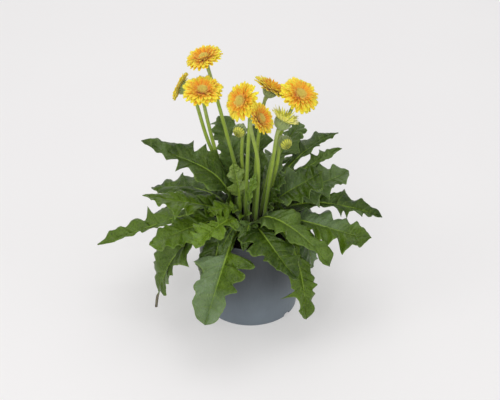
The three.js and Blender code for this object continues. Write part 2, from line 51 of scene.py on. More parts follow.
SEAT_GAP = 0.3
POT_HEIGHT = 170
POT_BASE_RADIUS = 82
POT_RIM_RADIUS = 95
LIP_HEIGHT = 10
LIP_STEP = 2.5
POT_WALL = 2
POT_FLOOR = 2.5
DRAIN_SLOT_WIDTH = 16
DRAIN_SLOT_HEIGHT = 6.5
DRAIN_SLOT_BEARINGS = [-38, 82, 202]
FLOOR_HOLE_RADIUS = 5
FLOOR_HOLE_RING = 50
FLOOR_HOLES = 5
SOIL_HEIGHT = 152
SOIL_EDGE_DROP = 5
CROWN_TOP = 166
CROWN_RADIUS = 46
CROWN_BOTTOM = 138
CROWN_FOOT_RADIUS = 33
YOUNG_STALK_ROOT = 6
STALK_HALF_WIDTH = 3.4
STALK_DEPTH = 3
STEM_RADIUS = 3.2
CUP_RADIUS = 11.5
CUP_DEPTH = 13
NECK = 6
DISC_RADIUS = 8.3
PETAL_THICKNESS = 1.2

# Lobes of a leaf from the stalk to the tip, as [place, left, right]: the place is a share of the
# blade's length, and left and right are the lobe's reach as a share of the leaf's half width.
LOBES = {
    "broad": [[0.14, 0.62, 0.7], [0.34, 1, 0.92], [0.56, 0.8, 0.86], [0.78, 0.66, 0.6]],
    "stepped": [[0.12, 0.6, 0.72], [0.3, 1, 0.9], [0.47, 0.82, 0.9], [0.63, 0.68, 0.62], [0.8, 0.44, 0.5]],
    "narrow": [[0.16, 0.5, 0.56], [0.36, 0.9, 1], [0.57, 0.74, 0.7], [0.76, 0.4, 0.44]],
    "young": [[0.22, 0.7, 0.76], [0.5, 1, 0.94], [0.76, 0.7, 0.66]],
    "small": [[0.34, 0.9, 1], [0.68, 0.8, 0.74]],
    "tapered": [[0.16, 1, 0.8], [0.5, 0.6, 0.66], [0.8, 0.3, 0.5]],
}
# The edge of each leaf that shows from the front, in place of its lobes. It runs from stalk to tip: the
# left side, then the right one, as points of place and reach in hundredths of the same shares. A point
# much further out than both of its neighbours is the sharp tip of a lobe.
EDGES = {
    "outer_01": [
        "8 12, 18 14, 25 16, 28 90, 31.5 110, 35 112, 40 54, 44.5 92, 48 98, 55 56, 61 80, 65 86, 69 46, "
        "78 60, 88 48, 94 38, 98 22",
        "8 12, 20 14, 30 20, 37 108, 41 114, 49 64, 55 68, 60 62, 67 76, 74 60, 81 66, 89 50, 95 38, "
        "98 22",
    ],
    "outer_02": [
        "10 40, 25 50, 40 70, 50 90, 60 70, 72 95, 84 60, 94 50",
        "10 80, 23 110, 34 115, 45 100, 55 105, 68 122, 78 86, 90 116, 95 80",
    ],
    "outer_03": [
        "6 40, 16 60, 26 70, 32 135, 38 88, 44 56, 49 92, 53 64, 57 105, 64 60, 72 76, 76.5 60, 79 5, "
        "95 0",
        "6 40, 20 70, 36 80, 45 106, 50 85, 54 68, 60 95, 67 66, 74 42, 80 12, 84 2, 95 0",
    ],
    "outer_04": [
        "10 40, 20 34, 35 26, 48 55, 52 26, 62 24, 76 34, 92 14",
        "4 56, 14 60, 24 125, 30 100, 34 70, 37 70, 42 130, 45 70, 48 48, 52 74, 58 88, 62 60, 69 45, "
        "73 60, 82 45, 90 38",
    ],
    "outer_09": [
        "8 36, 20 42, 30 46, 42 58, 49 95, 54 56, 61 47, 69 52, 76 42, 84 36, 93 20",
        "8 36, 16 30, 28 36, 36 36, 42 70, 45 35, 50 72, 54 28, 61 36, 67 68, 73 20, 81 36, 86 14, 94 12",
    ],
    "outer_10": [
        "3 90, 10 105, 16 84, 24 66, 34 130, 39 80, 47 48, 56 72, 62 86, 69 54, 77 70, 82 46, 91 34",
        "8 50, 20 96, 32 115, 46 110, 55 95, 59 76, 69 145, 76 120, 85 94, 93 50",
    ],
    "outer_11": [
        "10 30, 20 20, 27 26, 34 50, 44 47, 52 60, 55 44, 59 62, 63 38, 73 64, 78 36, 88 44, 95 26",
        "8 50, 21 96, 34 70, 49 86, 56 64, 58 74, 61 142, 65 62, 78 44, 90 36, 96 22",
    ],
    "outer_12": [
        "8 30, 20 50, 32 36, 46 54, 57 90, 65 76, 70 55, 76 72, 87 45, 95 26",
        "8 30, 18 36, 27 130, 34 90, 39 80, 45 128, 50 104, 56 62, 64 90, 70 80, 75 52, 82 50, 90 34, "
        "96 26",
    ],
    "outer_13": [
        "10 60, 30 80, 44 40, 52 40, 60 60, 68 60, 78 40, 88 44, 95 26",
        "8 90, 20 130, 28 90, 36 145, 45 120, 56 150, 66 160, 76 140, 84 120, 93 70",
    ],
    "middle_01": [
        "8 50, 25 100, 36 120, 44 95, 51 125, 60 84, 70 110, 78 90, 86 94, 95 50",
        "8 40, 25 60, 36 50, 45 100, 56 76, 62 55, 68 52, 74 46, 81 58, 87 36, 95 14",
    ],
    "middle_02": [
        "8 50, 25 90, 40 125, 52 100, 62 130, 67 90, 72 74, 81 104, 86 56, 92 80, 95 30",
        "6 40, 15 60, 24 50, 34 50, 42 90, 52 66, 60 36, 67 56, 79 38, 91 20",
    ],
    "middle_03": [
        "8 50, 17 60, 30 60, 38 86, 48 60, 60 60, 70 80, 80 50, 90 36",
        "8 50, 25 90, 40 110, 50 80, 55 72, 59 55, 66 84, 72 47, 81 52, 94 24",
    ],
    "middle_06": [
        "10 40, 24 42, 34 28, 47 26, 56 30, 60 78, 64 34, 69 30, 73 55, 79 36, 84 40, 93 20",
        "10 40, 30 46, 45 34, 60 30, 78 26, 90 14",
    ],
    "middle_07": [
        "8 50, 26 80, 45 115, 54 100, 66 90, 76 52, 84 62, 94 36",
        "5 50, 18 88, 29 125, 36 100, 45 130, 54 90, 62 84, 70 70, 76 64, 83 80, 90 54, 96 30",
    ],
    "middle_08": [
        "8 46, 21 46, 36 70, 50 58, 61 52, 71 40, 81 54, 90 50, 96 26",
        "2 80, 7 120, 13 74, 18 106, 24 102, 29 70, 35 94, 41 74, 48 116, 54 82, 62 50, 74 34, 81 18, "
        "88 34, 95 24",
    ],
    "inner_01": [
        "6 40, 15 70, 25 105, 34 100, 44 110, 49 84, 54 56, 60 115, 63 30, 66 36, 70 80, 74 40, 79 16, "
        "83 26, 88 12, 95 10",
        "4 60, 12 80, 20 84, 32 70, 40 95, 45 72, 49 100, 53 45, 56 50, 60 115, 64 74, 69 59, 76 66, "
        "84 50, 90 50, 96 25",
    ],
    "inner_02": [
        "10 50, 30 100, 44 130, 50 100, 56 130, 63 90, 71 112, 76 84, 82 104, 86 60, 90.5 96, 93 34, "
        "97 22",
        "10 60, 26 90, 36 110, 42 70, 50 110, 57 70, 64 90, 70 40, 76 64, 84 74, 91 60, 96 40",
    ],
    "inner_03": [
        "10 40, 32 70, 41 60, 50 95, 57 76, 68 122, 77 82, 90 110, 95 60",
        "10 40, 30 50, 40 66, 53 32, 62 50, 70 88, 79 40, 88 54, 95 30",
    ],
    "inner_04": [
        "12 40, 30 54, 46 40, 56 56, 64 40, 71 36, 77 80, 81 36, 85 50, 89 30, 93 46, 97 24",
        "10 60, 26 62, 36 46, 46 50, 55 115, 65 90, 73 115, 79 66, 83 76, 88 98, 92 56, 96 56",
    ],
    "inner_05": [
        "10 40, 20 28, 31 28, 37 90, 45 98, 52 66, 58 95, 63 74, 70 70, 76 58, 82 52, 90 28",
        "10 40, 20 26, 36 26, 43 46, 50 34, 56 50, 62 26, 72 24, 84 26, 92 12",
    ],
    "inner_06": [
        "10 50, 25 100, 38 120, 45 86, 53 105, 61 70, 70 84, 82 70, 92 40",
        "10 60, 22 100, 36 136, 46 100, 57 130, 63 110, 71 140, 78 100, 86 125, 93 80",
    ],
    "inner_07": [
        "10 60, 24 140, 33 70, 45 160, 54 80, 65 160, 75 70, 85 130, 93 50",
        "10 80, 18 140, 28 70, 38 170, 49 80, 58 170, 69 80, 80 150, 92 60",
    ],
    "inner_08": [
        "10 60, 22 110, 31 70, 42 120, 51 80, 65 135, 73 90, 82 130, 89 80, 95 90",
        "10 50, 20 95, 29 66, 38 120, 46 80, 56 130, 61 100, 68 140, 77 80, 87 50, 94 30",
    ],
    "inner_09": [
        "8 30, 20 45, 28 120, 35 35, 42 130, 49 40, 56 110, 67 94, 72 35, 80 40, 92 34",
        "8 30, 20 40, 32 150, 41 40, 50 42, 60 60, 74 120, 81 60, 86 90, 90 55, 96 80",
    ],
}
# The end of an edge made from lobes, as shares of the way on to the tip and of the last lobe's reach.
BLADE_END = [[0.4, 0.66], [0.62, 0.56], [0.84, 0.34]]
BLADE_CLIMB = 0.45
BLADE_FALL = 0.28
WAVE_HEIGHT = 0.13
WAVE_PACE = 17
WAVE_SHIFT = 2.2
LOBE_SPREAD = 1.12  # the fine blades spread a little wider than those of the model
WING_WIDTH = 5
# Broader wings on the stalks that would show bare.
WINGS = {
    "outer_04": 18, "outer_05": 17, "outer_09": 18, "outer_10": 15, "middle_02": 12, "middle_03": 17,
    "middle_07": 18, "middle_08": 17, "inner_01": 14, "inner_05": 12, "inner_06": 13,
}
# The share of a leaf beyond which its narrow tip is dry.
WITHERED = {"outer_03": 0.84}
# How much more crisped the young blades are than the grown ones.
CRISPED = {"inner_02": 1.9, "inner_04": 1.7, "inner_07": 3, "inner_08": 2.4, "inner_09": 2.2}
# Painted sheen: a greyish colour on the left and right half of a leaf that paints the soft reflection
# of the light, where it isn't faint. Below 0 it takes the cloudy patches of painted sheen away.
PAINTED_SHEENS = {
    "outer_01": [-0.6, 1.2], "outer_10": [1.2, 0], "outer_12": [-0.3, -0.3], "outer_13": [1.2, 1.2],
    "middle_02": [-0.2, -0.2], "middle_03": [-0.6, -0.6], "middle_06": [0.3, 0.3], "middle_07": [0.5, 0.7],
    "middle_08": [0.25, 0.25], "inner_02": [0.5, 0.5], "inner_04": [0.5, 0.5], "inner_06": [0.8, 0],
}
# The darker tones are partly painted shade: they are given to leaves in shadow, as outer_13 and inner_06.
TONES = {"dark": 0.12, "mid": 0.3, "fresh": 0.45, "light": 0.7}

# Each leaf: root [radius, bearing], lift, arch and tip [radius, bearing, height], half width, share
# of bare stalk, roll in degrees, lobes and tone of green.
LEAVES = [
    ["outer_01", [43, 250], 236, [166, 250, 130], [215, 250, 96], 46, 0.21, 0, "broad", "mid"],
    ["outer_02", [43, 234], 220, [126, 237, 178], [132, 241, 92], 26, 0.34, 0, "narrow", "dark"],
    ["outer_03", [43, 208], 197, [168, 208, 184], [181, 207, 42], 40, 0.26, 0, "stepped", "mid"],
    ["outer_04", [43, 176], 223, [214, 178, 128], [270, 178, 109], 34, 0.3, -14, "narrow", "fresh"],
    ["outer_05", [43, 150], 214, [168, 148, 172], [208, 146, 74], 40, 0.28, 0, "broad", "dark"],
    ["outer_06", [43, 124], 214, [176, 118, 160], [214, 116, 88], 42, 0.28, 0, "broad", "mid"],
    ["outer_07", [44, 84], 214, [160, 88, 178], [190, 90, 62], 40, 0.28, 0, "stepped", "dark"],
    ["outer_08", [44, 62], 214, [170, 58, 168], [216, 56, 92], 40, 0.28, 0, "broad", "mid"],
    ["outer_09", [44, 354], 225, [160, 4, 200], [231, 4, 163], 38, 0.34, 22, "stepped", "dark"],
    ["outer_10", [43, 339], 210, [170, 346, 158], [212, 346, 165], 38, 0.28, 2, "narrow", "mid"],
    ["outer_11", [43, 318], 215, [135, 312, 190], [150, 309, 42], 36, 0.32, 0, "stepped", "fresh"],
    ["outer_12", [42, 274], 215, [132, 288, 178], [168, 297, 150], 40, 0.14, 0, "broad", "dark"],
    ["outer_13", [43, 328], 208, [118, 331, 186], [120, 331, 108], 24, 0.34, 0, "narrow", "dark"],
    ["middle_01", [34, 209], 198, [124, 208, 190], [187, 205, 169], 40, 0.22, 0, "broad", "fresh"],
    ["middle_02", [38, 192], 210, [129, 188, 214], [184, 187, 232], 42, 0.16, 0, "broad", "fresh"],
    ["middle_03", [38, 163], 224, [145, 149, 200], [216, 146, 158], 40, 0.18, 0, "stepped", "dark"],
    ["middle_04", [37, 97], 232, [150, 114, 214], [214, 113, 176], 40, 0.2, 0, "broad", "mid"],
    ["middle_05", [36, 64], 232, [150, 72, 214], [214, 73, 170], 40, 0.24, 0, "broad", "dark"],
    ["middle_06", [43, 31], 230, [150, 36, 238], [199, 35, 246], 34, 0.28, 10, "narrow", "mid"],
    ["middle_07", [42, 14], 220, [125, 19, 206], [182, 19, 232], 40, 0.32, 8, "broad", "mid"],
    ["middle_08", [27, 290], 225, [120, 320, 198], [167, 322, 142], 40, 0.15, 0, "broad", "fresh"],
    ["inner_01", [30, 191], 290, [104, 180, 276], [190, 168, 303], 38, 0.16, -20, "broad", "dark"],
    ["inner_02", [38, 118], 262, [72, 118, 285], [116, 119, 318], 28, 0.26, 0, "broad", "mid"],
    ["inner_03", [36, 77], 262, [80, 78, 280], [124, 81, 288], 28, 0.26, 0, "broad", "dark"],
    ["inner_04", [36, 46], 250, [90, 54, 260], [156, 56, 290], 26, 0.3, 0, "young", "mid"],
    ["inner_05", [37, 27], 260, [186, 46, 262], [225, 45, 252], 36, 0.3, 0, "narrow", "dark"],
    ["inner_06", [32, 3], 215, [70, 1, 225], [122, 0, 266], 34, 0.2, 22, "broad", "dark"],
    ["inner_07", [38, 341], 225, [46, 345, 242], [60, 348, 264], 18, 0.2, 0, "young", "dark"],
    ["inner_08", [26, 228], 205, [52, 219, 220], [86, 214, 214], 19, 0.2, 0, "young", "light"],
    ["inner_09", [31, 238], 206, [98, 237, 220], [143, 231, 184], 26, 0.2, 0, "young", "light"],
]
# The young leaves on the crown: the same values, with the tone as a number, and the painted sheen.
YOUNG_LEAVES = [
    [[34, 263], 200, [88, 245, 212], [121, 246, 168], 15, 0.24, 0, "small", 0.15, 0.35],
    [[30, 274], 200, [72, 266, 206], [101, 263, 172], 15, 0.24, -30, "small", 0.3, 0.35],
    [[20, 259], 215, [22, 268, 238], [26, 290, 276], 18, 0.26, 70, "tapered", 0.9, 0.5],
    [[18, 174], 220, [24, 160, 240], [34, 150, 272], 19, 0.46, -12, "small", 1.5, 0.5],
]

# Each flower stem: foot [x, y], bend, middle of the head, the way it faces, radius, what it carries.
FLOWERS = [
    ["01", [-8, 19], [-42, 40, 324], [-76, 58, 448], [-0.28, -0.16, 0.95], 32, "open"],
    ["02", [-22, 28], [-72, 46, 298], [-115, 58, 396], [-0.9, 0.3, 0.32], 27, "open"],
    ["03", [-28, 17], [-63, 36, 300], [-78, 10, 412], [0, -0.3, 0.95], 35, "open"],
    ["04", [-8, -6], [-5, -8, 290], [-14, -12, 405], [-0.63, -0.55, 0.55], 34, "open"],
    ["05", [9, -16], [13, -20, 290], [14, -42, 388], [0.72, -0.36, 0.59], 28, "open"],
    ["06", [6, 9], [13, 32, 309], [33, 46, 395], [0.48, 0.18, 0.86], 33, "open"],
    ["07", [19, 18], [43, 27, 297], [81, 14, 403], [0.36, -0.42, 0.83], 35, "open"],
    ["08", [24, -8], [38, -9, 296], [53, -14, 368], [0.46, 0.3, 0.84], 22, "half"],
    ["09", [-4, 28], [-15, 38, 270], [-19, 34, 324], [-0.3, -0.92, -0.1], 10.5, "bud"],
    ["10", [26, 11], [45, 9, 274], [59, 0, 320], [0.35, -0.92, -0.14], 10.5, "bud"],
]

# ---------------------------------------------------------------- fineness of the grown pieces

BLADE_ROWS = 68
ROWS_PER_VEIN = 8.5
STALK_ROWS = 14
BLADE_COLUMNS = 8  # on each side of the midrib
BLADE_HALF_THICKNESS = 0.3
BLADE_EDGE_HALF_THICKNESS = 0.12
QUILT_HEIGHT = 2.6  # how far the blade swells between two side veins
CURL_HEIGHT = 13  # how far a lobe may curl up or down at its edge
CURLS = 14
RUFFLE_HEIGHT = 1.7
STEM_SIDES = 14
STEM_RINGS = 64
STEM_HAIRS = 420
CUP_HAIRS = 420
CROWN_HAIRS = 900
CROWN_SCALES = 58
SHEATH_ROWS = 8
SHEATH_COLUMNS = 9
SCALE_COLUMNS = 5
PETAL_ROWS = 11
PETAL_COLUMNS = 7
BUD_ROWS = 7
SOIL_CRUMBS = 620
CRUMB_SIDES = 6
FLORETS = 130
RIM_FLORETS = 34
FLORET_SIDES = 5
POT_SIDES = 144
HOLE_SIDES = 32
SOIL_SIDES = 160
CROWN_SIDES = 72
CUP_SIDES = 28
BUD_SIDES = 20
GOLDEN_ANGLE = math.pi * (3 - math.sqrt(5))
FULL_TURN = 2 * math.pi
SIDES = (0, 1)  # of a leaf: left and right
NO_CORNERS = np.array([], int)

# Seeds of the random numbers. The leaves count from 1, and each part of a piece adds its own number.
SHEEN_SEED = 61
YOUNG_LEAF_SEED = 100
FLOWER_SEED = 200
SOIL_SEED = 41
CROWN_SEED = 77
BLADE_PART = 500
STEM_PART = 700
PETALS_PART = 900
DISC_PART = 1100
HALF_OPEN_PART = 1300
BUD_PART = 1500

# ---------------------------------------------------------------- numbers and points


def seeded(seed):
    """Repeatable numbers from 0 to 1."""
    state = seed * 7919 + 17

    def draw():
        nonlocal state
        state = state * 16807 % 2147483647
        return state / 2147483647

    return draw


def smooth(share):
    share = np.clip(share, 0, 1)
    return share * share * (3 - 2 * share)


def unit(vector):
    vector = np.asarray(vector, float)
    return vector / np.linalg.norm(vector, axis=-1, keepdims=True)


def polar(radius, bearing, height):
    """The point at a bearing in degrees."""
    bearing = math.radians(bearing)
    return np.array([radius * math.cos(bearing), radius * math.sin(bearing), height])


def facing(points, direction, place):
    """Turns points made round +Z so that they face a direction, and moves them to a place."""
    turn = Vector((0, 0, 1)).rotation_difference(Vector(direction).normalized()).to_matrix()
    return points @ np.array(turn).T + np.array(place)


def grid(*parts):
    """Three values at each point of a grid, from arrays or numbers that are spread over all of it."""
    return np.stack(np.broadcast_arrays(*parts), axis=-1).reshape(-1, 3)


def run_of(points):
    """How far along their line each of these points lies."""
    return np.concatenate([[0], np.cumsum(np.linalg.norm(np.diff(points, axis=0), axis=1))])


def through(values, corners, place):
    """A smooth line through values at whole places, with corners at some of them."""
    leaving = np.gradient(values)
    arriving = leaving.copy()
    leaving[corners] = values[corners + 1] - values[corners]
    arriving[corners] = values[corners] - values[corners - 1]
    i = np.minimum(place.astype(int), len(values) - 2)
    t = place - i
    return (
        (2 * t**3 - 3 * t**2 + 1) * values[i]
        + (t**3 - 2 * t**2 + t) * leaving[i]
        + (3 * t**2 - 2 * t**3) * values[i + 1]
        + (t**3 - t**2) * arriving[i + 1]
    )


# ---------------------------------------------------------------- meshes


class Body:
    """The points, faces and values of one piece, gathered part by part."""

    def __init__(self):
        self.points = []
        self.faces = []
        self.finishes = []
        self.values = {}
        self.count = 0

    def add(self, points, faces, finish=0, **values):
        """Adds a part: its points, its faces with their finish, and named values at its points."""
        points = np.asarray(points, float).reshape(-1, 3)
        self.points.append(points)
        self.faces.extend([index + self.count for index in face] for face in faces)
        self.finishes.extend([finish] * len(faces))
        for name in {**self.values, **values}:
            held = self.values.setdefault(name, [np.zeros((self.count, 3))])
            held.append(np.broadcast_to(values.get(name, (0, 0, 0)), (len(points), 3)))
        self.count += len(points)

    def placed(self, name):
        """The gathered body as an object."""
        mesh = bpy.data.meshes.new(name)
        mesh.from_pydata((np.concatenate(self.points) * MM).tolist(), [], self.faces)
        for key, parts in self.values.items():
            attribute = mesh.attributes.new(key, "FLOAT_VECTOR", "POINT")
            attribute.data.foreach_set("vector", np.concatenate(parts).astype(np.float32).ravel())
        mesh.polygons.foreach_set("material_index", self.finishes)
        return put(name, mesh)


def put(name, data):
    """A new object in the scene."""
    made = bpy.data.objects.new(name, data)
    bpy.context.scene.collection.objects.link(made)
    return made


def show(piece, materials, slot, node):
    """Lets a piece stand for a node of the model, smooth and in its materials."""
    for look in materials:
        piece.data.materials.append(look)
    piece.data.polygons.foreach_set("use_smooth", [True] * len(piece.data.polygons))
    piece.data.update()
    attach(piece, "root")
    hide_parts(node)


def skin_faces(rows, columns):
    """Quads of a thin closed skin: a grid of points for its upper face, then one for its lower."""
    faces = []
    lower = rows * columns
    for i in range(rows - 1):
        for j in range(columns - 1):
            a = i * columns + j
            quad = [a, a + 1, a + columns + 1, a + columns]
            faces.append(quad)
            faces.append([lower + index for index in reversed(quad)])
        a = i * columns
        faces.append([a, a + columns, lower + a + columns, lower + a])
        a += columns - 1
        faces.append([a + columns, a, lower + a, lower + a + columns])
    for j in range(columns - 1):
        faces.append([j, lower + j, lower + j + 1, j + 1])
        a = (rows - 1) * columns + j
        faces.append([a + 1, lower + a + 1, lower + a, a])
    return faces


def tube_faces(rings, sides):
    """Quads of a tube of rings of points, with both ends closed."""
    faces = []
    for i in range(rings - 1):
        for j in range(sides):
            a = i * sides + j
            b = i * sides + (j + 1) % sides
            faces.append([a, b, b + sides, a + sides])
    faces.append(list(reversed(range(sides))))
    faces.append([(rings - 1) * sides + j for j in range(sides)])
    return faces


def turned(profile, sides):
    """Points and faces of a body turned about Z from [radius, height] points, axis to axis."""
    bearings = FULL_TURN * np.arange(sides) / sides
    radius, height = np.array(profile[1:-1], float).T[..., None]
    points = grid(radius * np.cos(bearings), radius * np.sin(bearings), height)
    first = len(points)
    last_ring = first - sides
    faces = tube_faces(len(radius), sides)[:-2]
    for j in range(sides):
        following = (j + 1) % sides
        faces.append([first, following, j])
        faces.append([first + 1, last_ring + j, last_ring + following])
    ends = [[0, 0, profile[0][1]], [0, 0, profile[-1][1]]]
    return np.concatenate([points, ends]), faces


# ---------------------------------------------------------------- leaves


class Midrib:
    """A leaf's midrib on its curve, with the blade's side and upward directions along it."""

    def __init__(self, root, lift, arch, tip, roll, foot):
        start = polar(*root, foot)
        end = polar(*tip)
        self.controls = [start, polar(*root, lift), polar(*arch), end]
        self.roll = math.radians(roll)
        self.across = unit([start[1] - end[1], end[0] - start[0], 0])
        self.steps = np.linspace(0, 1, 401)
        run = run_of(self.point(self.steps))
        self.shares = run / run[-1]

    def point(self, t):
        a, b, c, d = self.controls
        t = t[..., None]
        return (1 - t) ** 3 * a + 3 * (1 - t) ** 2 * t * b + 3 * (1 - t) * t**2 * c + t**3 * d

    def slope(self, t):
        a, b, c, d = self.controls
        t = t[..., None]
        return 3 * (1 - t) ** 2 * (b - a) + 6 * (1 - t) * t * (c - b) + 3 * t**2 * (d - c)

    def at(self, share, sideways, upwards):
        """Points at shares of the length, that far to the left of the midrib and above it."""
        t = np.interp(np.clip(share, 0, 1), self.shares, self.steps)
        along = unit(self.slope(t))
        side = unit(self.across - along * (along @ self.across)[..., None])
        up = np.cross(along, side)
        turn = (self.roll * smooth(share))[..., None]
        left = side * np.cos(turn) + up * np.sin(turn)
        top = up * np.cos(turn) - side * np.sin(turn)
        return self.point(t) + left * sideways[..., None] + top * upwards[..., None]


def edge_points(text):
    """One edge of a blade from its text, as rows of place and reach."""
    return np.array([point.split() for point in text.split(",")], float) / 100


def edges_from(lobes, random):
    """Both edges of a blade from its lobes, as rows of place and reach, with a sinus before each lobe."""
    edges = ([], [])
    before = 0
    for i, (place, *reach) in enumerate(lobes):
        following = lobes[i + 1][0] if i + 1 < len(lobes) else 1
        depth = 0.18 + 0.32 * place
        sinus = 0.03 if before == 0 else before + 0.3 * (place - before)
        reach_before = (0.25, 0.25) if before == 0 else lobes[i - 1][1:]
        shoulder = sinus + 0.5 * (place - sinus)
        jitter = [0.85 + 0.3 * random() for _ in range(4)]
        sweep = [(0.12 + 0.16 * random()) * (following - place) for _ in SIDES]
        for side in SIDES:
            edges[side].append([sinus, depth * min(reach[side], reach_before[side])])
            edges[side].append([shoulder, 0.78 * reach[side] * jitter[side]])
            edges[side].append([place + sweep[side], reach[side] * jitter[side + 2]])
        before = place
    for side in SIDES:
        edges[side].extend([place + share * (1 - place), end * reach[side]] for share, end in BLADE_END)
    return [np.array(edge) * [1, LOBE_SPREAD] for edge in edges]


def edge_line(points, start):
    """Place and reach of one edge of a blade in each of its rows: lobe tips stay sharp, the rest is round."""
    places, reach = np.array([[0, start], *points, [1, 0]]).T
    rows = np.round(places * (BLADE_ROWS - 1)).astype(int)
    for i in range(1, len(rows)):
        rows[i] = max(rows[i], rows[i - 1] + 2)
    rows[-1] = BLADE_ROWS - 1
    for i in reversed(range(len(rows) - 1)):
        rows[i] = min(rows[i], rows[i + 1] - 2)
    beside = np.maximum(reach[:-2], reach[2:])
    corners = 1 + np.flatnonzero(reach[1:-1] > beside + 0.2)
    place = np.interp(np.arange(BLADE_ROWS), rows, np.arange(len(rows)))
    return through(places, corners, place), np.maximum(through(reach, corners, place), 0)


def vein_starts(middle, place, reach):
    """Where each row of one side leaves the midrib, so far on that no row crosses the gap before a lobe."""
    earlier = np.tril(reach[None, :] < reach[:, None] - 0.5, -1)
    share = np.where(earlier, (reach[None, :] / np.maximum(reach[:, None], 0.1)) ** 1.15, 0)
    least = np.where(earlier, (place[None, :] - place[:, None] * share) / (1 - share), 0)
    return np.minimum(np.maximum(middle, least.max(axis=1)), place)


def leaf(body, shape, foot, seed, tone, painted_sheen, edges=(), finish=0, wing=WING_WIDTH, crisp=1, dry=1):
    """A leaf: its grooved stalk, and the lobed blade with midrib, keel, quilting and waved edge."""
    root, lift, arch, tip, half, stalk, roll, kind = shape
    random = seeded(seed)
    midrib = Midrib(root, lift, arch, tip, roll, foot)
    phase = FULL_TURN * random()
    if not edges:
        edges = edges_from(LOBES[kind], random)
    extra = seeded(seed + BLADE_PART)

    def whole(foot_rows, blade_rows):
        """Values for the rows of the stalk and then of the blade."""
        foot_rows = np.broadcast_to(foot_rows, (*np.shape(blade_rows)[:-1], STALK_ROWS))
        return np.concatenate([foot_rows, blade_rows], axis=-1)

    # The blade's rows leave the midrib early and slant towards the tip, as side veins do.
    row = np.arange(BLADE_ROWS)
    middle = (row / (BLADE_ROWS - 1)) ** 1.5
    start = (STALK_HALF_WIDTH + 0.8 * wing) / half
    edge, reach = np.array([edge_line(side, start) for side in edges]).transpose(1, 0, 2)
    teeth = [np.sin(1.9 * row + 6 * extra()) * np.sin(0.63 * row + 6 * extra()) for _ in SIDES]
    reach = half * reach + 0.5 * crisp * np.array(teeth) * smooth(reach * half / 14)
    knots = np.interp(row, [0, BLADE_ROWS - 1], [0, CURLS - 1])
    curls = [np.array([2 * extra() - 1.1 for _ in range(CURLS)]) for _ in SIDES]
    curl = [through(side, NO_CORNERS, knots) for side in curls]
    ruffle = [np.sin(0.82 * row + 6 * extra()) + 0.6 * np.sin(1.37 * row + 6 * extra()) for _ in SIDES]
    curl = CURL_HEIGHT * min(1, half / 34) * np.array(curl) + RUFFLE_HEIGHT * crisp * np.array(ruffle)

    # The stalk's rows come first. Small lobes run down it and thin out towards its foot.
    bare = np.linspace(0, 0.97, STALK_ROWS)
    stalk_half = STALK_HALF_WIDTH * (1 - 0.3 * bare)
    lobule = wing * smooth((bare - 0.25) / 0.5)
    wings = [stalk_half + lobule * (0.78 + 0.22 * np.sin(16 * bare + 6 * extra())) for _ in SIDES]
    start = np.array([vein_starts(middle, edge[side], reach[side]) for side in SIDES])
    middle_share, edge_share, start = (
        whole(bare * stalk, stalk + (1 - stalk) * share) for share in (middle, edge, start)
    )
    reach = whole(wings, reach)
    uneven = 0.14 * np.sin(0.6 * row + 6 * extra()) + 0.3 * np.sin(0.25 * row + 6 * extra())
    vein = whole(-0.5, row / ROWS_PER_VEIN + uneven)[:, None]
    rib = whole(0.9 * stalk_half, 0.4 + 1.8 * (1 - middle) ** 1.4)[:, None]
    keel = whole(STALK_DEPTH * (1 - 0.25 * bare) - 0.3, 0.2 + 1.6 * (1 - middle))[:, None]
    back = whole(0.45 * STALK_DEPTH * (1 - 0.25 * bare), 0.3 + 0.7 * (1 - smooth(middle / 0.2)))[:, None]

    def joined(sides, at_midrib):
        """Values in each row from the left edge over the midrib to the right edge."""
        return np.concatenate([sides[0], at_midrib, sides[1][:, ::-1]], axis=1)

    # Columns spread from the rib's flank out to the edge, and two more lie on the rib itself.
    flank = 1.25 * rib
    skirt = np.maximum(reach[..., None], flank + 0.15)
    spread = flank + (skirt - flank) * (1 - np.arange(BLADE_COLUMNS + 1) / BLADE_COLUMNS)
    columns = np.concatenate([spread, np.broadcast_to(rib * [1, 0.6], (2, len(rib), 2))], axis=-1)
    out = columns / skirt
    along = start[..., None] + (edge_share - start)[..., None] * out**1.15
    along[..., -2:] = middle_share[:, None]
    zero = np.zeros(rib.shape)
    sideways = joined([columns[0], -columns[1]], zero)
    out = joined(out, zero)
    along = joined(along, middle_share[:, None])
    left = sideways > 0
    skirt = np.where(left, *skirt)
    twist = np.where(left, *whole(0, curl)[..., None])

    grown = smooth((along - stalk + 0.05) / 0.2)
    to_vein = 2 * np.abs(vein - np.round(vein))
    field = np.floor(vein).astype(int) + 1
    bulge = np.array([[0.4 + 1.2 * extra() for _ in range(field.max() + 1)] for _ in SIDES])
    bulge = np.where(left, *bulge[:, field])
    quilt = QUILT_HEIGHT * bulge * smooth(to_vein / 0.8) * np.sin(math.pi * np.clip(out, 0, 1)) ** 0.7
    pucker = 0.5 * np.sin(2.1 * vein * math.pi + 3) * np.sin(9 * out + 4 * phase)
    away = np.abs(sideways) / half
    wave = WAVE_HEIGHT * np.sin(along * WAVE_PACE + phase + np.where(left, 0, WAVE_SHIFT))
    height = half * (BLADE_CLIMB * away + (wave - BLADE_FALL) * away * away)
    height = height + twist * out**2 * np.minimum(skirt / half, 1) + quilt + pucker * smooth(out / 0.3)
    height = height * grown

    within = np.clip(np.abs(sideways) / flank, 0, 1)
    thinning = (BLADE_EDGE_HALF_THICKNESS - BLADE_HALF_THICKNESS) * smooth((out - 0.8) / 0.2)
    thick = BLADE_HALF_THICKNESS + thinning
    ridge = (back - BLADE_HALF_THICKNESS) * np.sqrt(1 - within**2 * 0.98) * (0.8 + 0.3 * within**2)
    groove = 0.35 * np.exp(-((within * 1.4) ** 2)) * grown
    upper = midrib.at(along, sideways, height + thick + np.maximum(ridge, 0) - groove)
    lower = midrib.at(along, sideways, height - thick - keel * np.sqrt(1 - within**2 * 0.999))
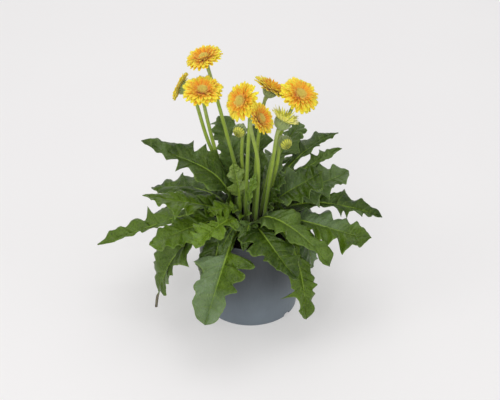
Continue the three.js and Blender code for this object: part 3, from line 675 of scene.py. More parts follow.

    # Painted shade: the foot of a leaf, deep in the shaded rosette, is painted a darker green.
    tone_with_painted_shade = tone - 0.95 * (1 - smooth(along / 0.46))
    before_tip = 1 - smooth((along - 0.62) / 0.2)
    # Painted sheen: a greyish colour for the soft reflection of the light, on either half before the tip.
    sheen_share = painted_sheen[1] + (painted_sheen[0] - painted_sheen[1]) * smooth(0.5 + sideways / 12) * before_tip
    # The second value of the tissue is 0 above, 1 underneath and 2 where a leaf is dry.
    withered = 2 * smooth((along - dry) / 0.05)
    body.add(
        np.concatenate([upper, lower]),
        skin_faces(*out.shape),
        finish,
        blade=np.tile(grid(vein, out, np.abs(sideways) - rib), (2, 1)),
        tissue=np.concatenate([grid(tone_with_painted_shade, withered, sheen_share), grid(tone_with_painted_shade, np.maximum(withered, 1), sheen_share)]),
    )


# ---------------------------------------------------------------- flowers


def stem_line(row, depth):
    """The stem's centre line, from its foot on the crown to the back of its head."""
    _, foot, bend, head, face, *_ = row
    face = unit(face)
    neck = np.array(head) - face * (depth - 1)
    knots = [[*foot, CROWN_TOP + SEAT_GAP], [*foot, CROWN_TOP + 10], bend, neck - face * NECK, neck]
    knots = np.array(knots, float)
    knots = np.array([2 * knots[0] - knots[1], *knots, 2 * knots[-1] - knots[-2]])
    line = []
    for i in range(len(knots) - 3):
        gaps = np.linalg.norm(np.diff(knots[i : i + 4], axis=0), axis=1)
        times = np.concatenate([[0], np.cumsum(np.sqrt(gaps))])
        for t in np.linspace(times[1], times[2], 40, endpoint=False):
            blend = knots[i : i + 4]
            for spans in ([(0, 1), (1, 2), (2, 3)], [(0, 2), (1, 3)], [(1, 2)]):
                blend = [
                    ((times[k] - t) * a + (t - times[j]) * b) / (times[k] - times[j])
                    for (j, k), a, b in zip(spans, blend, blend[1:])
                ]
            line.append(blend[0])
    line = np.array([*line, neck])
    run = run_of(line)
    even = np.linspace(0, run[-1], STEM_RINGS)
    return np.stack([np.interp(even, run, line[:, axis]) for axis in range(3)], axis=1)


def hairs(body, places, normals, lean, length, width, random, finish):
    """Short fine hairs, each a slim three-sided spike that leans a little along a direction."""
    for place, normal in zip(places, normals):
        tip = unit(normal + lean * (0.2 + 0.5 * random())) * length * (0.6 + 0.8 * random())
        side = unit(np.cross(normal, [0.3, 0.5, 0.81])) * width
        other = np.cross(normal, side)
        foot = [place + side, place - 0.5 * side + 0.87 * other, place - 0.5 * side - 0.87 * other]
        body.add([*foot, place + tip], [[0, 1, 3], [1, 2, 3], [2, 0, 3], [2, 1, 0]], finish)


def stem(body, line, random):
    """A ribbed tube along its line, with hairs."""
    along = unit(np.gradient(line, axis=0))
    side = unit(np.cross(along, [0.37, 0.93, 0.05]))
    other = np.cross(along, side)
    share = np.linspace(0, 1, STEM_RINGS)[:, None]
    radius = STEM_RADIUS * (1.06 - 0.16 * share + 0.3 * smooth((share - 0.96) / 0.04))
    bearing = FULL_TURN * np.arange(STEM_SIDES) / STEM_SIDES
    ring = side[:, None] * np.cos(bearing)[:, None] + other[:, None] * np.sin(bearing)[:, None]
    points = line[:, None] + ring * (radius * (1 + 0.05 * np.cos(7 * bearing)))[..., None]
    body.add(points, tube_faces(STEM_RINGS, STEM_SIDES), green=grid(share, 0, np.cos(bearing)))
    places = []
    normals = []
    for _ in range(STEM_HAIRS):
        i = int(random() ** 0.7 * (STEM_RINGS - 1))
        bearing = random() * FULL_TURN
        normal = side[i] * math.cos(bearing) + other[i] * math.sin(bearing)
        places.append(line[i] + (line[i + 1] - line[i]) * random() + normal * (radius[i] - 0.05))
        normals.append(normal)
    hairs(body, places, normals, along[0], 0.9, 0.07, random, 1)


def bracts(body, profile, rings, head, random):
    """Narrow green scales that overlap round a cup, given as rings of [count, foot, tip, width]."""
    run = run_of(profile)
    taper = np.array([[0.8, 1, 1, 0.9, 0.72, 0.42, 0.05]]).T
    share = np.linspace(0, 1, len(taper))[:, None]
    across = np.linspace(-1, 1, SCALE_COLUMNS)
    scale_faces = skin_faces(len(share), SCALE_COLUMNS)
    for level, (count, foot, tip, width) in enumerate(rings):
        for i in range(count):
            bearing = FULL_TURN * (i + 0.5 * (level % 2) + 0.15 * random()) / count
            at = run[-1] * (foot + (tip * (0.94 + 0.1 * random()) - foot) * share)
            radius, height = (np.interp(at, run, profile[:, axis]) for axis in (0, 1))
            lift = 0.25 + 0.5 * (len(rings) - level) * 0.35 + 0.9 * share**3
            turn = bearing - across * width * taper / np.maximum(radius, 3)
            points = []
            for face in (1, -1):
                out = radius + (lift + 0.25 * face) + 0.35 * (1 - across**2)
                points.append(grid(out * np.cos(turn), out * np.sin(turn), height + 0.6 * share))
            green = [[0.9, 0.4 + 0.1 * k, random()] for k in range(len(share)) for _ in across]
            body.add(facing(np.concatenate(points), *head), scale_faces, green=np.tile(green, (2, 1)))


def cup_profile(kind, radius):
    """The [radius, height] points of a cup, from the stem to its mouth."""
    if kind == "open":
        wall = [[7.4, -9.4], [CUP_RADIUS - 1, -4.6], [CUP_RADIUS, -SEAT_GAP]]
        return [[0, -CUP_DEPTH], [STEM_RADIUS, -CUP_DEPTH], *wall]
    if kind == "half":
        return [[0, -14], [STEM_RADIUS, -14], [9.4, -10], [12.6, -3], [12.4, 3]]
    wall = [[0.8, -1.02], [0.98, -0.45], [0.96, -0.05], [0.84, 0.14]]
    return [[0, -1.5 * radius], [STEM_RADIUS, -1.5 * radius], *(np.array(wall) * radius)]


def rounded(profile):
    """A profile with its corners rounded by a smooth line through its points."""
    profile = np.array(profile, float)
    place = np.linspace(0, len(profile) - 1, (len(profile) - 1) * 5 + 1)
    return np.stack([through(profile[:, axis], NO_CORNERS, place) for axis in (0, 1)], axis=1)


CUP_RINGS = {
    "open": [[18, 0.5, 1, 1.7], [16, 0.34, 0.8, 1.8], [13, 0.22, 0.6, 1.8]],
    "half": [[20, 0.5, 1.02, 1.9], [17, 0.36, 0.82, 2.0], [14, 0.24, 0.62, 2.0]],
    "bud": [[16, 0.55, 1.04, 1.7], [15, 0.42, 0.86, 1.9], [13, 0.3, 0.66, 1.9]],
}


def stem_and_cup(row, seed):
    """A flower stem with the green cup under its head."""
    _, _, _, place, face, radius, kind = row
    random = seeded(seed + STEM_PART)
    profile = cup_profile(kind, radius)
    body = Body()
    stem(body, stem_line(row, -profile[0][1]), random)
    outline = rounded(profile[1:])
    core = outline * [0.96, 1]
    points, faces = turned([[0, core[0][1] - 0.01], *core, [0, core[-1][1] - 0.5]], CUP_SIDES)
    body.add(facing(points, face, place), faces, green=(0.95, 0.7, 0.5))
    bracts(body, outline, CUP_RINGS[kind], (face, place), random)
    places = []
    normals = []
    for _ in range(CUP_HAIRS):
        at = random() * (len(core) - 1.01)
        i = int(at)
        out, height = core[i] + (core[i + 1] - core[i]) * (at - i) + [0.6, 0]
        bearing = FULL_TURN * random()
        normals.append([math.cos(bearing), math.sin(bearing), -0.5])
        places.append([out * normals[-1][0], out * normals[-1][1], height])
    normals = unit(facing(np.array(normals), face, (0, 0, 0)))
    hairs(body, facing(np.array(places), face, place), normals, unit(face), 1, 0.08, random, 1)
    return body


def petal(body, run, half, slope, level, bearing, bend, random, layer, head, tip=0.42):
    """One strap-shaped petal from its inner to its outer radius, folded lengthwise in two shallow grooves."""
    direction, place, radius = head
    inner, outer = run
    length = outer - inner
    share = np.linspace(0, 1, PETAL_ROWS)[:, None]
    across = np.linspace(1, -1, PETAL_COLUMNS)
    narrowed = 1 - (1 - tip) * smooth((share - 0.72) / 0.28) ** 1.4
    width = half * (0.45 + 0.55 * smooth(share / 0.6)) * narrowed
    notch = 0.04 * (np.cos(FULL_TURN * across) - 1) * smooth((share - 0.85) / 0.15)
    at = inner + length * (share + notch)
    rise = (at - inner) * math.tan(math.radians(slope))
    fold = 0.3 * np.cos(2.2 * math.pi * across) * smooth(share / 0.3) * (half / 3)
    hollow = 0.8 * (1 - 0.8 * share) * across**2 * (half / 3)
    tilt = (random() - 0.5) * 0.7 * across * width * share
    height = level + rise + bend * length * share**2 + fold + hollow + tilt
    drift = (random() - 0.5) * 0.16 * share
    turn = bearing + drift + across * width / np.maximum(at, 3)
    points = [grid(at * np.cos(turn), at * np.sin(turn), height - down) for down in (0, 0.42)]
    ripe = 0.22 * share + 0.78 * (at - DISC_RADIUS) / (radius - DISC_RADIUS)
    spots = grid(ripe, across, random())
    # The face is 0 in front and 1 behind.
    face = np.repeat([[0, layer, 0], [1, layer, 0]], len(spots), axis=0)
    points = facing(np.concatenate(points), direction, place)
    body.add(points, skin_faces(PETAL_ROWS, PETAL_COLUMNS), petal=np.tile(spots, (2, 1)), face=face)


# Whorls from the outside in: petals, reach as a share of the head's radius, slope, half width and turn.
# Those of the half-open head have their inner radius as well, before the reach.
HALF_WHORLS = [[28, 9.6, 1.16, 42, 1.5, 0], [26, 9, 1.06, 52, 1.5, 0.2], [22, 8, 0.88, 62, 1.3, 0.1]]
OPEN_WHORLS = [
    [23, 1.0, 2, 4.0, 0],
    [22, 0.96, 8, 3.7, 0.13],
    [18, 0.86, 15, 2.9, 0.05],
    [19, 0.62, 29, 2.2, 0.2],
    [20, 0.47, 44, 1.6, 0.1],
]
# Rings of a bud's petals: petals, radius at foot and tip as shares, half width.
BUD_RINGS = [[14, 0.92, 0.66, 1.75], [12, 0.68, 0.4, 1.6], [8, 0.4, 0.12, 1.3]]
# The heads that cup their petals, or lay them back: degrees added, and share kept of a whorl's slope.
CUPPED = {"01": [7, 1], "02": [10, 0.5], "03": [4, 1], "05": [18, 0.9], "06": [17, 0.9]}


def open_petals(row, seed):
    """The ray petals of an open head, whorl on whorl."""
    number, _, _, place, face, radius, _ = row
    raised, kept = CUPPED.get(number, [0, 1])
    random = seeded(seed + PETALS_PART)
    body = Body()
    for layer, (count, reach, slope, half, turn) in enumerate(OPEN_WHORLS):
        for i in range(count):
            bearing = turn + FULL_TURN * (i + 0.3 * (random() - 0.5)) / count
            run = (DISC_RADIUS - 2, radius * reach * (0.93 + 0.11 * random()))
            steep = raised + kept * slope + 5 * (random() - 0.5)
            bend = -0.14 + 0.14 * (random() - 0.5)
            width = half * (0.9 + 0.2 * random()) * radius / 33
            level = 0.5 + 0.75 * layer
            petal(body, run, width, steep, level, bearing, bend, random, layer / 4, (face, place, radius))
    return body


def floret(body, radius, bearing, foot, height, width, splay, tone, head):
    """A small tube that opens in a short pointed lip, leaning outwards by its splay."""
    share, girth = np.array([[0, 0.7], [0.55, 0.8], [0.85, 1.25], [1, 0.45]]).T[..., None]
    turn = FULL_TURN * np.arange(FLORET_SIDES) / FLORET_SIDES + bearing
    x = radius + splay * height * share**1.4 + width * girth * np.cos(turn)
    y = width * girth * np.sin(turn)
    z = foot + height * share * (1 - 0.35 * splay * share)
    cos, sin = math.cos(bearing), math.sin(bearing)
    points = facing(grid(x * cos - y * sin, x * sin + y * cos, z), *head)
    faces = tube_faces(len(share), FLORET_SIDES)
    body.add(points, faces, floret=grid(radius / DISC_RADIUS, share + 0 * turn, tone))


def disc(row, seed):
    """The disc of an open head: a low dome of florets with longer ones round its rim."""
    _, _, _, place, face, _, _ = row
    random = seeded(seed + DISC_PART)
    body = Body()
    foot = PETAL_THICKNESS + 2.2
    dome = [[7.1, foot - 1], [7.5, foot + 1], [6, foot + 2.6], [3, foot + 2.9]]
    points, faces = turned([[0, foot - 1], *dome, [0, foot + 2.5]], CUP_SIDES)
    body.add(facing(points, face, place), faces, floret=(0.5, 0, 0.5))
    for i in range(FLORETS):
        radius = (DISC_RADIUS - 0.9) * math.sqrt((i + 0.5) / FLORETS)
        out = radius / DISC_RADIUS
        base = foot + 2.4 - 2.2 * out**4
        height = 0.9 + 1.5 * out + 0.6 * random()
        form = (base, height, 0.42 + 0.12 * out, 0.15 + 0.5 * out**3, random())
        floret(body, radius, i * GOLDEN_ANGLE, *form, (face, place))
    for i in range(RIM_FLORETS):
        bearing = FULL_TURN * (i + 0.4 * random()) / RIM_FLORETS
        height = 3.6 + 1.8 * random()
        floret(body, DISC_RADIUS - 1, bearing, foot + 0.4, height, 0.62, 0.75, random(), (face, place))
    return body


def half_open_petals(row, seed):
    """Narrow petals that fan out all round the mouth of the cup, over a dome of closed florets."""
    _, _, _, place, face, radius, _ = row
    random = seeded(seed + HALF_OPEN_PART)
    body = Body()
    for layer, (count, inner, reach, slope, half, turn) in enumerate(HALF_WHORLS):
        for i in range(count):
            bearing = turn + FULL_TURN * (i + 0.3 * random()) / count
            run = (inner, inner + (radius * reach - inner) * (0.85 + 0.25 * random()))
            steep = slope + 12 * (random() - 0.5)
            head = (face, place, radius)
            petal(body, run, half, steep, 0.6, bearing, -0.25, random, 0.3 * layer, head, 0.15)
    points, faces = turned([[0, 0.4], [9, 0.4], [9.4, 1.8], [7.4, 3.8], [4, 4.8], [0, 5]], CUP_SIDES)
    body.add(facing(points, face, place), faces, petal=(0, 0, 0.5), face=(0, 1, 0))
    return body


def bud_petals(row, seed):
    """Petal tips that fold in over the mouth of a bud, ring within ring."""
    _, _, _, place, face, radius, _ = row
    random = seeded(seed + BUD_PART)
    body = Body()
    share = np.linspace(0, 1, BUD_ROWS)[:, None]
    across = np.linspace(1, -1, SCALE_COLUMNS)
    for layer, (count, foot, tip, width) in enumerate(BUD_RINGS):
        for i in range(count):
            bearing = FULL_TURN * (i + 0.2 * random() + 0.5 * layer) / count
            out = radius * (foot + (tip - foot) * share**2.2) + 0.6 * (1 - across**2) * (1 - 0.4 * share)
            height = radius * (0.02 + 0.04 * layer + (0.56 - 0.04 * layer + 0.06 * random()) * share)
            turn = bearing + across * width * (1 - 0.6 * share**3) / out
            points = [
                grid((out - down) * np.cos(turn), (out - down) * np.sin(turn), height - 0.6 * down)
                for down in (0, 0.5)
            ]
            points = facing(np.concatenate(points), face, place)
            spots = np.tile(grid(0.3 + 0.6 * share, across, random()), (2, 1))
            faces = skin_faces(BUD_ROWS, SCALE_COLUMNS)
            body.add(points, faces, petal=spots, face=(0, 0.8, 0.45 * layer))
    points, faces = turned([[0, -1], [7.4, -1], [7.4, 0.6], [6, 2.8], [3, 3.6], [0, 3.8]], BUD_SIDES)
    body.add(facing(points, face, place), faces, petal=(-0.4, 0, 0.5), face=(0, 1, 0))
    return body


# ---------------------------------------------------------------- pot, soil and crown


def wall_radius(height):
    """Outer radius of the pot's wall."""
    top = POT_RIM_RADIUS - LIP_STEP
    return POT_BASE_RADIUS + (top - POT_BASE_RADIUS) * height / (POT_HEIGHT - LIP_HEIGHT)


def drains():
    """What is cut out of the pot for its drain slots and holes."""
    body = Body()
    half = DRAIN_SLOT_WIDTH / 2
    arch = [[half, 4], [half - 1.4, 5.9], [half - 3.8, DRAIN_SLOT_HEIGHT]]
    arch = [[-half, -3], [half, -3], *arch, *([-x, z] for x, z in reversed(arch))]
    ends = np.array([[POT_BASE_RADIUS + reach, x, z] for reach in (-10, 10) for x, z in arch])
    for bearing in np.radians(DRAIN_SLOT_BEARINGS):
        cos, sin = math.cos(bearing), math.sin(bearing)
        body.add(ends @ np.array([[cos, sin, 0], [-sin, cos, 0], [0, 0, 1]]), tube_faces(2, len(arch)))
    for i in range(FLOOR_HOLES):
        plug = [[0, -4], [FLOOR_HOLE_RADIUS, -4], [FLOOR_HOLE_RADIUS, 9], [0, 9]]
        points, faces = turned(plug, HOLE_SIDES)
        body.add(points + polar(FLOOR_HOLE_RING, 360 * i / FLOOR_HOLES, 0), faces)
    return body


def pot():
    """The thin-walled nursery pot with its rolled lip, drain slots and holes."""
    lip = POT_HEIGHT - LIP_HEIGHT
    foot = [[0, 0.9], [58, 0.9], [60, 0], [POT_BASE_RADIUS - 2.2, 0], [POT_BASE_RADIUS - 0.9, 0.4]]
    wall = [[wall_radius(height), height] for height in (2, *np.linspace(6, lip - 3, 12), lip - 1.6)]
    # The rolled lip, as [radius from the rim, height from the lip's foot or from the top].
    rise = [[-0.9, -0.2], [-0.2, 0.6], [0, 1.6]]
    roll = [[0, -2], [-0.3, -0.8], [-1.1, 0], [-2.6, 0], [-3.6, -0.6], [-LIP_STEP - POT_WALL, -2]]
    inside = [
        [wall_radius(POT_FLOOR + 2) - POT_WALL, POT_FLOOR + 2],
        [wall_radius(POT_FLOOR) - POT_WALL - 2, POT_FLOOR],
        [0, POT_FLOOR],
    ]
    rise = (np.array(rise) + [POT_RIM_RADIUS, lip]).tolist()
    roll = (np.array(roll) + [POT_RIM_RADIUS, POT_HEIGHT]).tolist()
    body = Body()
    body.add(*turned([*foot, *wall, *rise, *roll, *inside], POT_SIDES))
    piece = body.placed("nursery_pot")
    cutter = drains().placed("drain_cutter")
    cut = piece.modifiers.new("drain", "BOOLEAN")
    cut.object = cutter
    cut.solver = "EXACT"
    drained = bpy.data.meshes.new_from_object(piece.evaluated_get(bpy.context.evaluated_depsgraph_get()))
    piece.modifiers.clear()
    piece.data = drained
    bpy.data.objects.remove(cutter)
    drained.materials.clear()
    show(piece, [POLYPROPYLENE], "pot_plastic", "pot")
    drained.set_sharp_from_angle(angle=math.radians(38))


def lumps(x, y):
    """Uneven ground: a few waves across each other, between about -1 and 1."""
    return (
        0.4 * np.sin(0.21 * x + 0.13 * y)
        + 0.3 * np.sin(0.37 * y - 0.19 * x + 1)
        + 0.2 * np.sin(0.83 * x + 0.61 * y + 2)
        + 0.2 * np.sin(1.3 * y - 1.1 * x)
        + 0.15 * np.sin(2.3 * x + 1.9 * y + 0.5)
    )


def soil():
    """Potting soil with a lumpy open top, crumbs and a seat for the crown."""
    random = seeded(SOIL_SEED)
    hole = CROWN_RADIUS + 2 * SEAT_GAP
    bottom = POT_FLOOR + SEAT_GAP
    seat = CROWN_BOTTOM - SEAT_GAP
    shoulder = SOIL_HEIGHT - SOIL_EDGE_DROP

    def inside(height):
        return wall_radius(height) - POT_WALL - 2 * SEAT_GAP

    rim = inside(SOIL_HEIGHT)

    def ground(radius):
        """Height of the open top, which drops towards the pot's wall."""
        return SOIL_HEIGHT - SOIL_EDGE_DROP * max(0, (radius - 74) / (rim - 74)) ** 2

    profile = [[0, bottom], [wall_radius(bottom) - POT_WALL - 1.2, bottom]]
    profile += [[inside(height), height] for height in (40, 90, shoulder)]
    profile += [[radius, ground(radius)] for radius in np.linspace(rim - 0.5, hole, 26)]
    profile += [[CROWN_FOOT_RADIUS + SEAT_GAP, seat], [0, seat]]
    points, faces = turned(profile, SOIL_SIDES)
    x, y, z = points.T
    radius = np.hypot(x, y)
    open_top = (z > shoulder - 0.5) & (radius > hole - 1) & (radius < rim - 0.2)
    points[:, 2] += np.where(open_top, 1.5 * lumps(x, y) - 0.4, 0)
    body = Body()
    body.add(points, faces)
    ball, ball_faces = turned([[0, -0.8], [0.7, -0.6], [1, 0], [0.75, 0.6], [0, 0.85]], CRUMB_SIDES)
    for _ in range(SOIL_CRUMBS):
        reach = math.sqrt(hole**2 + ((rim - 3) ** 2 - hole**2) * random())
        bearing = FULL_TURN * random()
        size = 0.7 + 2.1 * random() ** 3
        x, y = reach * math.cos(bearing), reach * math.sin(bearing)
        z = ground(reach) + 1.5 * lumps(x, y) - 0.2
        uneven = 1 + 0.35 * np.sin(7 * ball + 20 * random())
        body.add(ball * uneven * size + [x, y, z], ball_faces)
    show(body.placed("peat_soil"), [PEAT], "potting_soil", "potting_soil")


def sheath(body, root, height, girth, lean, random):
    """The clasping foot of a stalk: a short scale that wraps it from the outside."""
    foot = np.array([root[0], root[1], 0])
    out = unit(foot)
    side = np.array([-out[1], out[0], 0])
    share = np.linspace(0, 1, SHEATH_ROWS)[:, None]
    wrap = np.linspace(1.5, -1.5, SHEATH_COLUMNS)
    points = []
    for thickness in (0.7, 0):
        radius = girth * (1.15 - 0.85 * share**2) + thickness
        forward = radius * np.cos(wrap) + lean * share * height * 0.35
        across = radius * np.sin(wrap)
        place = foot + forward[..., None] * out + across[..., None] * side
        place[..., 2] = CROWN_TOP - 9 + (height + 9) * share - 2.2 * wrap**2 * share + 0.8 * random()
        points.append(place)
    brown = grid(share, 0.4 + 0.5 * random(), 0 * wrap)
    body.add(points, skin_faces(SHEATH_ROWS, SHEATH_COLUMNS), sheath=np.tile(brown, (2, 1)))


def crown():
    """The short stock, the sheathed feet of all stalks, and the young leaves that still grow from it."""
    random = seeded(CROWN_SEED)
    body = Body()
    profile = [
        [0, CROWN_BOTTOM],
        [CROWN_FOOT_RADIUS, CROWN_BOTTOM],
        [CROWN_RADIUS, SOIL_HEIGHT + 2],
        [CROWN_RADIUS - 1, CROWN_TOP - 3],
        [CROWN_RADIUS - 4, CROWN_TOP - 0.6],
        [30, CROWN_TOP - 0.2],
        [15, CROWN_TOP - 0.4],
        [0, CROWN_TOP - 0.5],
    ]
    body.add(*turned(profile, CROWN_SIDES), sheath=(0.2, 0.6, 0))
    for _, root, *_ in LEAVES:
        sheath(body, polar(*root, CROWN_TOP), 13 + 5 * random(), 5.2, 1, random)
    for root, *_ in YOUNG_LEAVES:
        sheath(body, polar(*root, CROWN_TOP), 12, 4.6, 0.6, random)
    for i in range(CROWN_SCALES):
        reach = 4 + 39 * math.sqrt((i + 0.5) / CROWN_SCALES)
        root = polar(reach, math.degrees(i * GOLDEN_ANGLE), CROWN_TOP)
        if min(math.dist(root[:2], foot) for _, foot, *_ in FLOWERS) > 7:
            sheath(body, root, 7 + 9 * random(), 2.6 + 1.8 * random(), 0.5, random)
    places = []
    normals = []
    for _ in range(CROWN_HAIRS):
        reach = 44 * math.sqrt(random())
        places.append(polar(reach, 360 * random(), CROWN_TOP - 0.6))
        normals.append(unit([0.5 * (random() - 0.5), 0.5 * (random() - 0.5), 1]))
    hairs(body, places, normals, np.array([0, 0, 1]), 4.5, 0.16, random, 2)
    foot = CROWN_TOP - YOUNG_STALK_ROOT
    for i, (*shape, tone, painted_sheen) in enumerate(YOUNG_LEAVES):
        seed = YOUNG_LEAF_SEED + i
        leaf(body, shape, foot, seed, tone, [painted_sheen, painted_sheen], finish=1, wing=3, crisp=0.5)
    show(body.placed("gerbera_crown"), [WOOLLY_SHEATH, WAXY_LEAF, DOWN], "crown_tissue", "crown")


# ---------------------------------------------------------------- materials

SMOOTH = {"interpolation_type": "SMOOTHSTEP"}
TIMES = {"operation": "MULTIPLY"}
TIMES_PLUS = {"operation": "MULTIPLY_ADD"}


def linear(colour):
    """An sRGB hex value as linear red, green, blue and alpha."""
    parts = [int(colour[i : i + 2], 16) / 255 for i in (1, 3, 5)]
    return [*(part / 12.92 if part <= 0.04045 else ((part + 0.055) / 1.055) ** 2.4 for part in parts), 1]


def per_metre(size):
    """How many features of this size in millimetres fit in a metre."""
    return 1000 / size


def add_node(tree, kind, inputs=(), out=0, **settings):
    """Adds a node with its settings, sets or links its inputs, and gives one output, or all for None."""
    node = tree.nodes.new("ShaderNode" + kind)
    for key, value in settings.items():
        setattr(node, key, value)
    for key, value in inputs.items() if isinstance(inputs, dict) else enumerate(inputs):
        if isinstance(value, bpy.types.NodeSocket):
            tree.links.new(value, node.inputs[key])
        else:
            node.inputs[key].default_value = value
    return node.outputs if out is None else node.outputs[out]


def material(name, *values):
    """A new material, what adds its nodes, a point's place, and X, Y and Z of the piece's own values."""
    made = bpy.data.materials.new(name)
    made.use_nodes = True
    made.node_tree.nodes.clear()
    add = partial(add_node, made.node_tree)
    vectors = [add("Attribute", out="Vector", attribute_name=value) for value in values]
    place = add("TexCoord", out="Object")
    return made, add, place, *(add("SeparateXYZ", [vector], None) for vector in vectors)


def finished(made, add, base, layers, surface, relief=None):
    """Lays colours over a base colour, each by its share, and ends the material in its shader.

    The relief is [strength, depth in millimetres, height].
    """
    colour = linear(base)
    for share, over in layers:
        over = linear(over) if isinstance(over, str) else over
        colour = add("Mix", {0: share, 6: colour, 7: over}, 2, data_type="RGBA")
    if relief:
        strength, depth, height = relief
        surface["Normal"] = add("Bump", {"Strength": strength, "Distance": depth * MM, "Height": height})
    add("OutputMaterial", [add("BsdfPrincipled", {"Base Color": colour, **surface})], None)
    return made


def waxy_leaf():
    """Grown leaf blade with a waxy cuticle: deep green, pale impressed veins, soft broad gloss."""
    made, add, place, blade, tissue = material("grown leaf with waxy cuticle", "blade", "tissue")

    # Side veins run on whole numbers of the first value, about 10 mm apart, and finer ones between.
    to_vein = add("Math", [blade["X"], 0.5], operation="PINGPONG")
    vein = add("MapRange", [to_vein, 0.03, 0.13, 1, 0], **SMOOTH)
    to_fine = add("Math", [blade["X"], 0.25], operation="PINGPONG")
    fine = add("MapRange", [to_fine, 0.01, 0.07, 0.45, 0], **SMOOTH)
    veins = add("Math", [vein, fine], operation="MAXIMUM")
    fade = add("MapRange", [blade["Y"], 0.25, 0.95, 1, 0.25])
    veins = add("Math", [veins, fade], **TIMES)
    rib = add("MapRange", [blade["Z"], -0.5, 0.35, 1, 0], **SMOOTH)
    rib_share = add("Math", [rib, add("MapRange", [blade["X"], 1, 10, 0.92, 0.12])], **TIMES)

    # Cloudy patches, a fine mottle, and blisters between the veins.
    patches, mottle, blister = (
        add("TexNoise", {"Vector": place, "Scale": per_metre(size), "Detail": detail, "Roughness": roughness})
        for size, detail, roughness in ((34, 3, 0.55), (5, 4, 0.6), (13, 2, 0.5))
    )
    # The net of the finest veins, a little coarser than life so that it shows.
    cells = {"Vector": place, "Scale": per_metre(5.5)}
    net = add("TexVoronoi", cells, "Distance", feature="DISTANCE_TO_EDGE")
    areole = add("MapRange", [net, 0, 0.3], **SMOOTH)

    # The tone carries the painted shade at the foot of each leaf, and falls below 0 there.
    tone = add("Math", [patches, 0.8, -0.4], **TIMES_PLUS)
    tone = add("Math", [tone, tissue["X"]], operation="ADD")
    # Painted sheen: cloudy patches where a grey reflection of the light is painted on.
    sheen_patches = add("MapRange", [patches, 0.55, 0.72, 0, 0.35], **SMOOTH)
    uneven = add("Math", [patches, 1.25], **TIMES)
    under = add("Mix", {0: rib_share, 6: linear("#6f8352"), 7: linear("#9cab72")}, 2, data_type="RGBA")
    layers = [
        (tone, "#74940f"),
        (add("MapRange", [tone, 1, 1.8]), "#a3b858"),
        (add("Math", [areole, 0.3], **TIMES), "#1d3006"),
        (add("MapRange", [mottle, 0.4, 0.75, 0, 0.28]), "#617d18"),
        # The painted sheen, from the leaf's own share and the cloudy patches.
        (add("Math", [tissue["Z"], uneven, sheen_patches], **TIMES_PLUS), "#6b8058"),
        (add("Math", [veins, 0.22], **TIMES), "#7a9140"),
        (rib_share, "#90ae3a"),
        # Painted shade: where the tone falls below 0, at the foot of a leaf in the rosette, it is near black.
        (add("Math", [add("MapRange", [tone, 0, -0.6]), 0.85], **TIMES), "#161f08"),
        (add("MapRange", [blade["Y"], 0.93, 1, 0, 0.4], **SMOOTH), "#8ba548"),
        (tissue["Y"], under),
        (add("MapRange", [tissue["Y"], 1, 2]), "#77705f"),
    ]

    gloss = add("MapRange", [mottle, 0.3, 0.7, 0.3, 0.46])
    swell = add("Math", [veins, -0.3, areole], **TIMES_PLUS)
    grain = add("Math", [mottle, 0.6, swell], **TIMES_PLUS)
    relief = add("Math", [blister, 9, grain], **TIMES_PLUS)
    surface = {
        "Roughness": add("Mix", {0: tissue["Y"], 2: gloss, 3: 0.8}),
        "IOR": 1.33,
        "Coat Weight": 0.06,
        "Coat Roughness": 0.25,
        "Subsurface Weight": 0.12,
        "Subsurface Scale": 1 * MM,
        "Subsurface Radius": (0.5, 1, 0.15),
    }
    return finished(made, add, "#253b05", layers, surface, [0.8, 0.5, relief])


def felted_stem():
    """Grown flower stalk and bracts: yellow-green, grey with felt towards the head, finely ribbed."""
    made, add, place, green = material("grown stalk with fine felt", "green")
    streak, felt = (
        add("TexNoise", {"Vector": place, "Scale": per_metre(size), "Detail": detail, "Roughness": roughness})
        for size, detail, roughness in ((9, 3, 0.5), (1.1, 2, 0.6))
    )
    layers = [
        # Painted shade: the stalk is painted darker towards its foot among the leaves, near black at the
        # foot.
        (add("MapRange", [green["X"], 0.1, 0.75], **SMOOTH), "#98b034"),
        (add("MapRange", [green["X"], 0, 0.17, 0.85, 0], **SMOOTH), "#3c4614"),
        (add("MapRange", [green["X"], 0.7, 1, 0, 0.55], **SMOOTH), "#aab27a"),
        (add("MapRange", [streak, 0.35, 0.7, 0, 0.45]), "#6f8a2a"),
        (add("Math", [green["Y"], 0.85], **TIMES), "#87966a"),
        (add("MapRange", [felt, 0.45, 0.75, 0, 0.18]), "#b4bf8c"),
    ]
    surface = {"Roughness": 0.62, "IOR": 1.42, "Sheen Weight": 0.25}
    return finished(made, add, "#6c8a1c", layers, surface, [0.5, 0.3, felt])


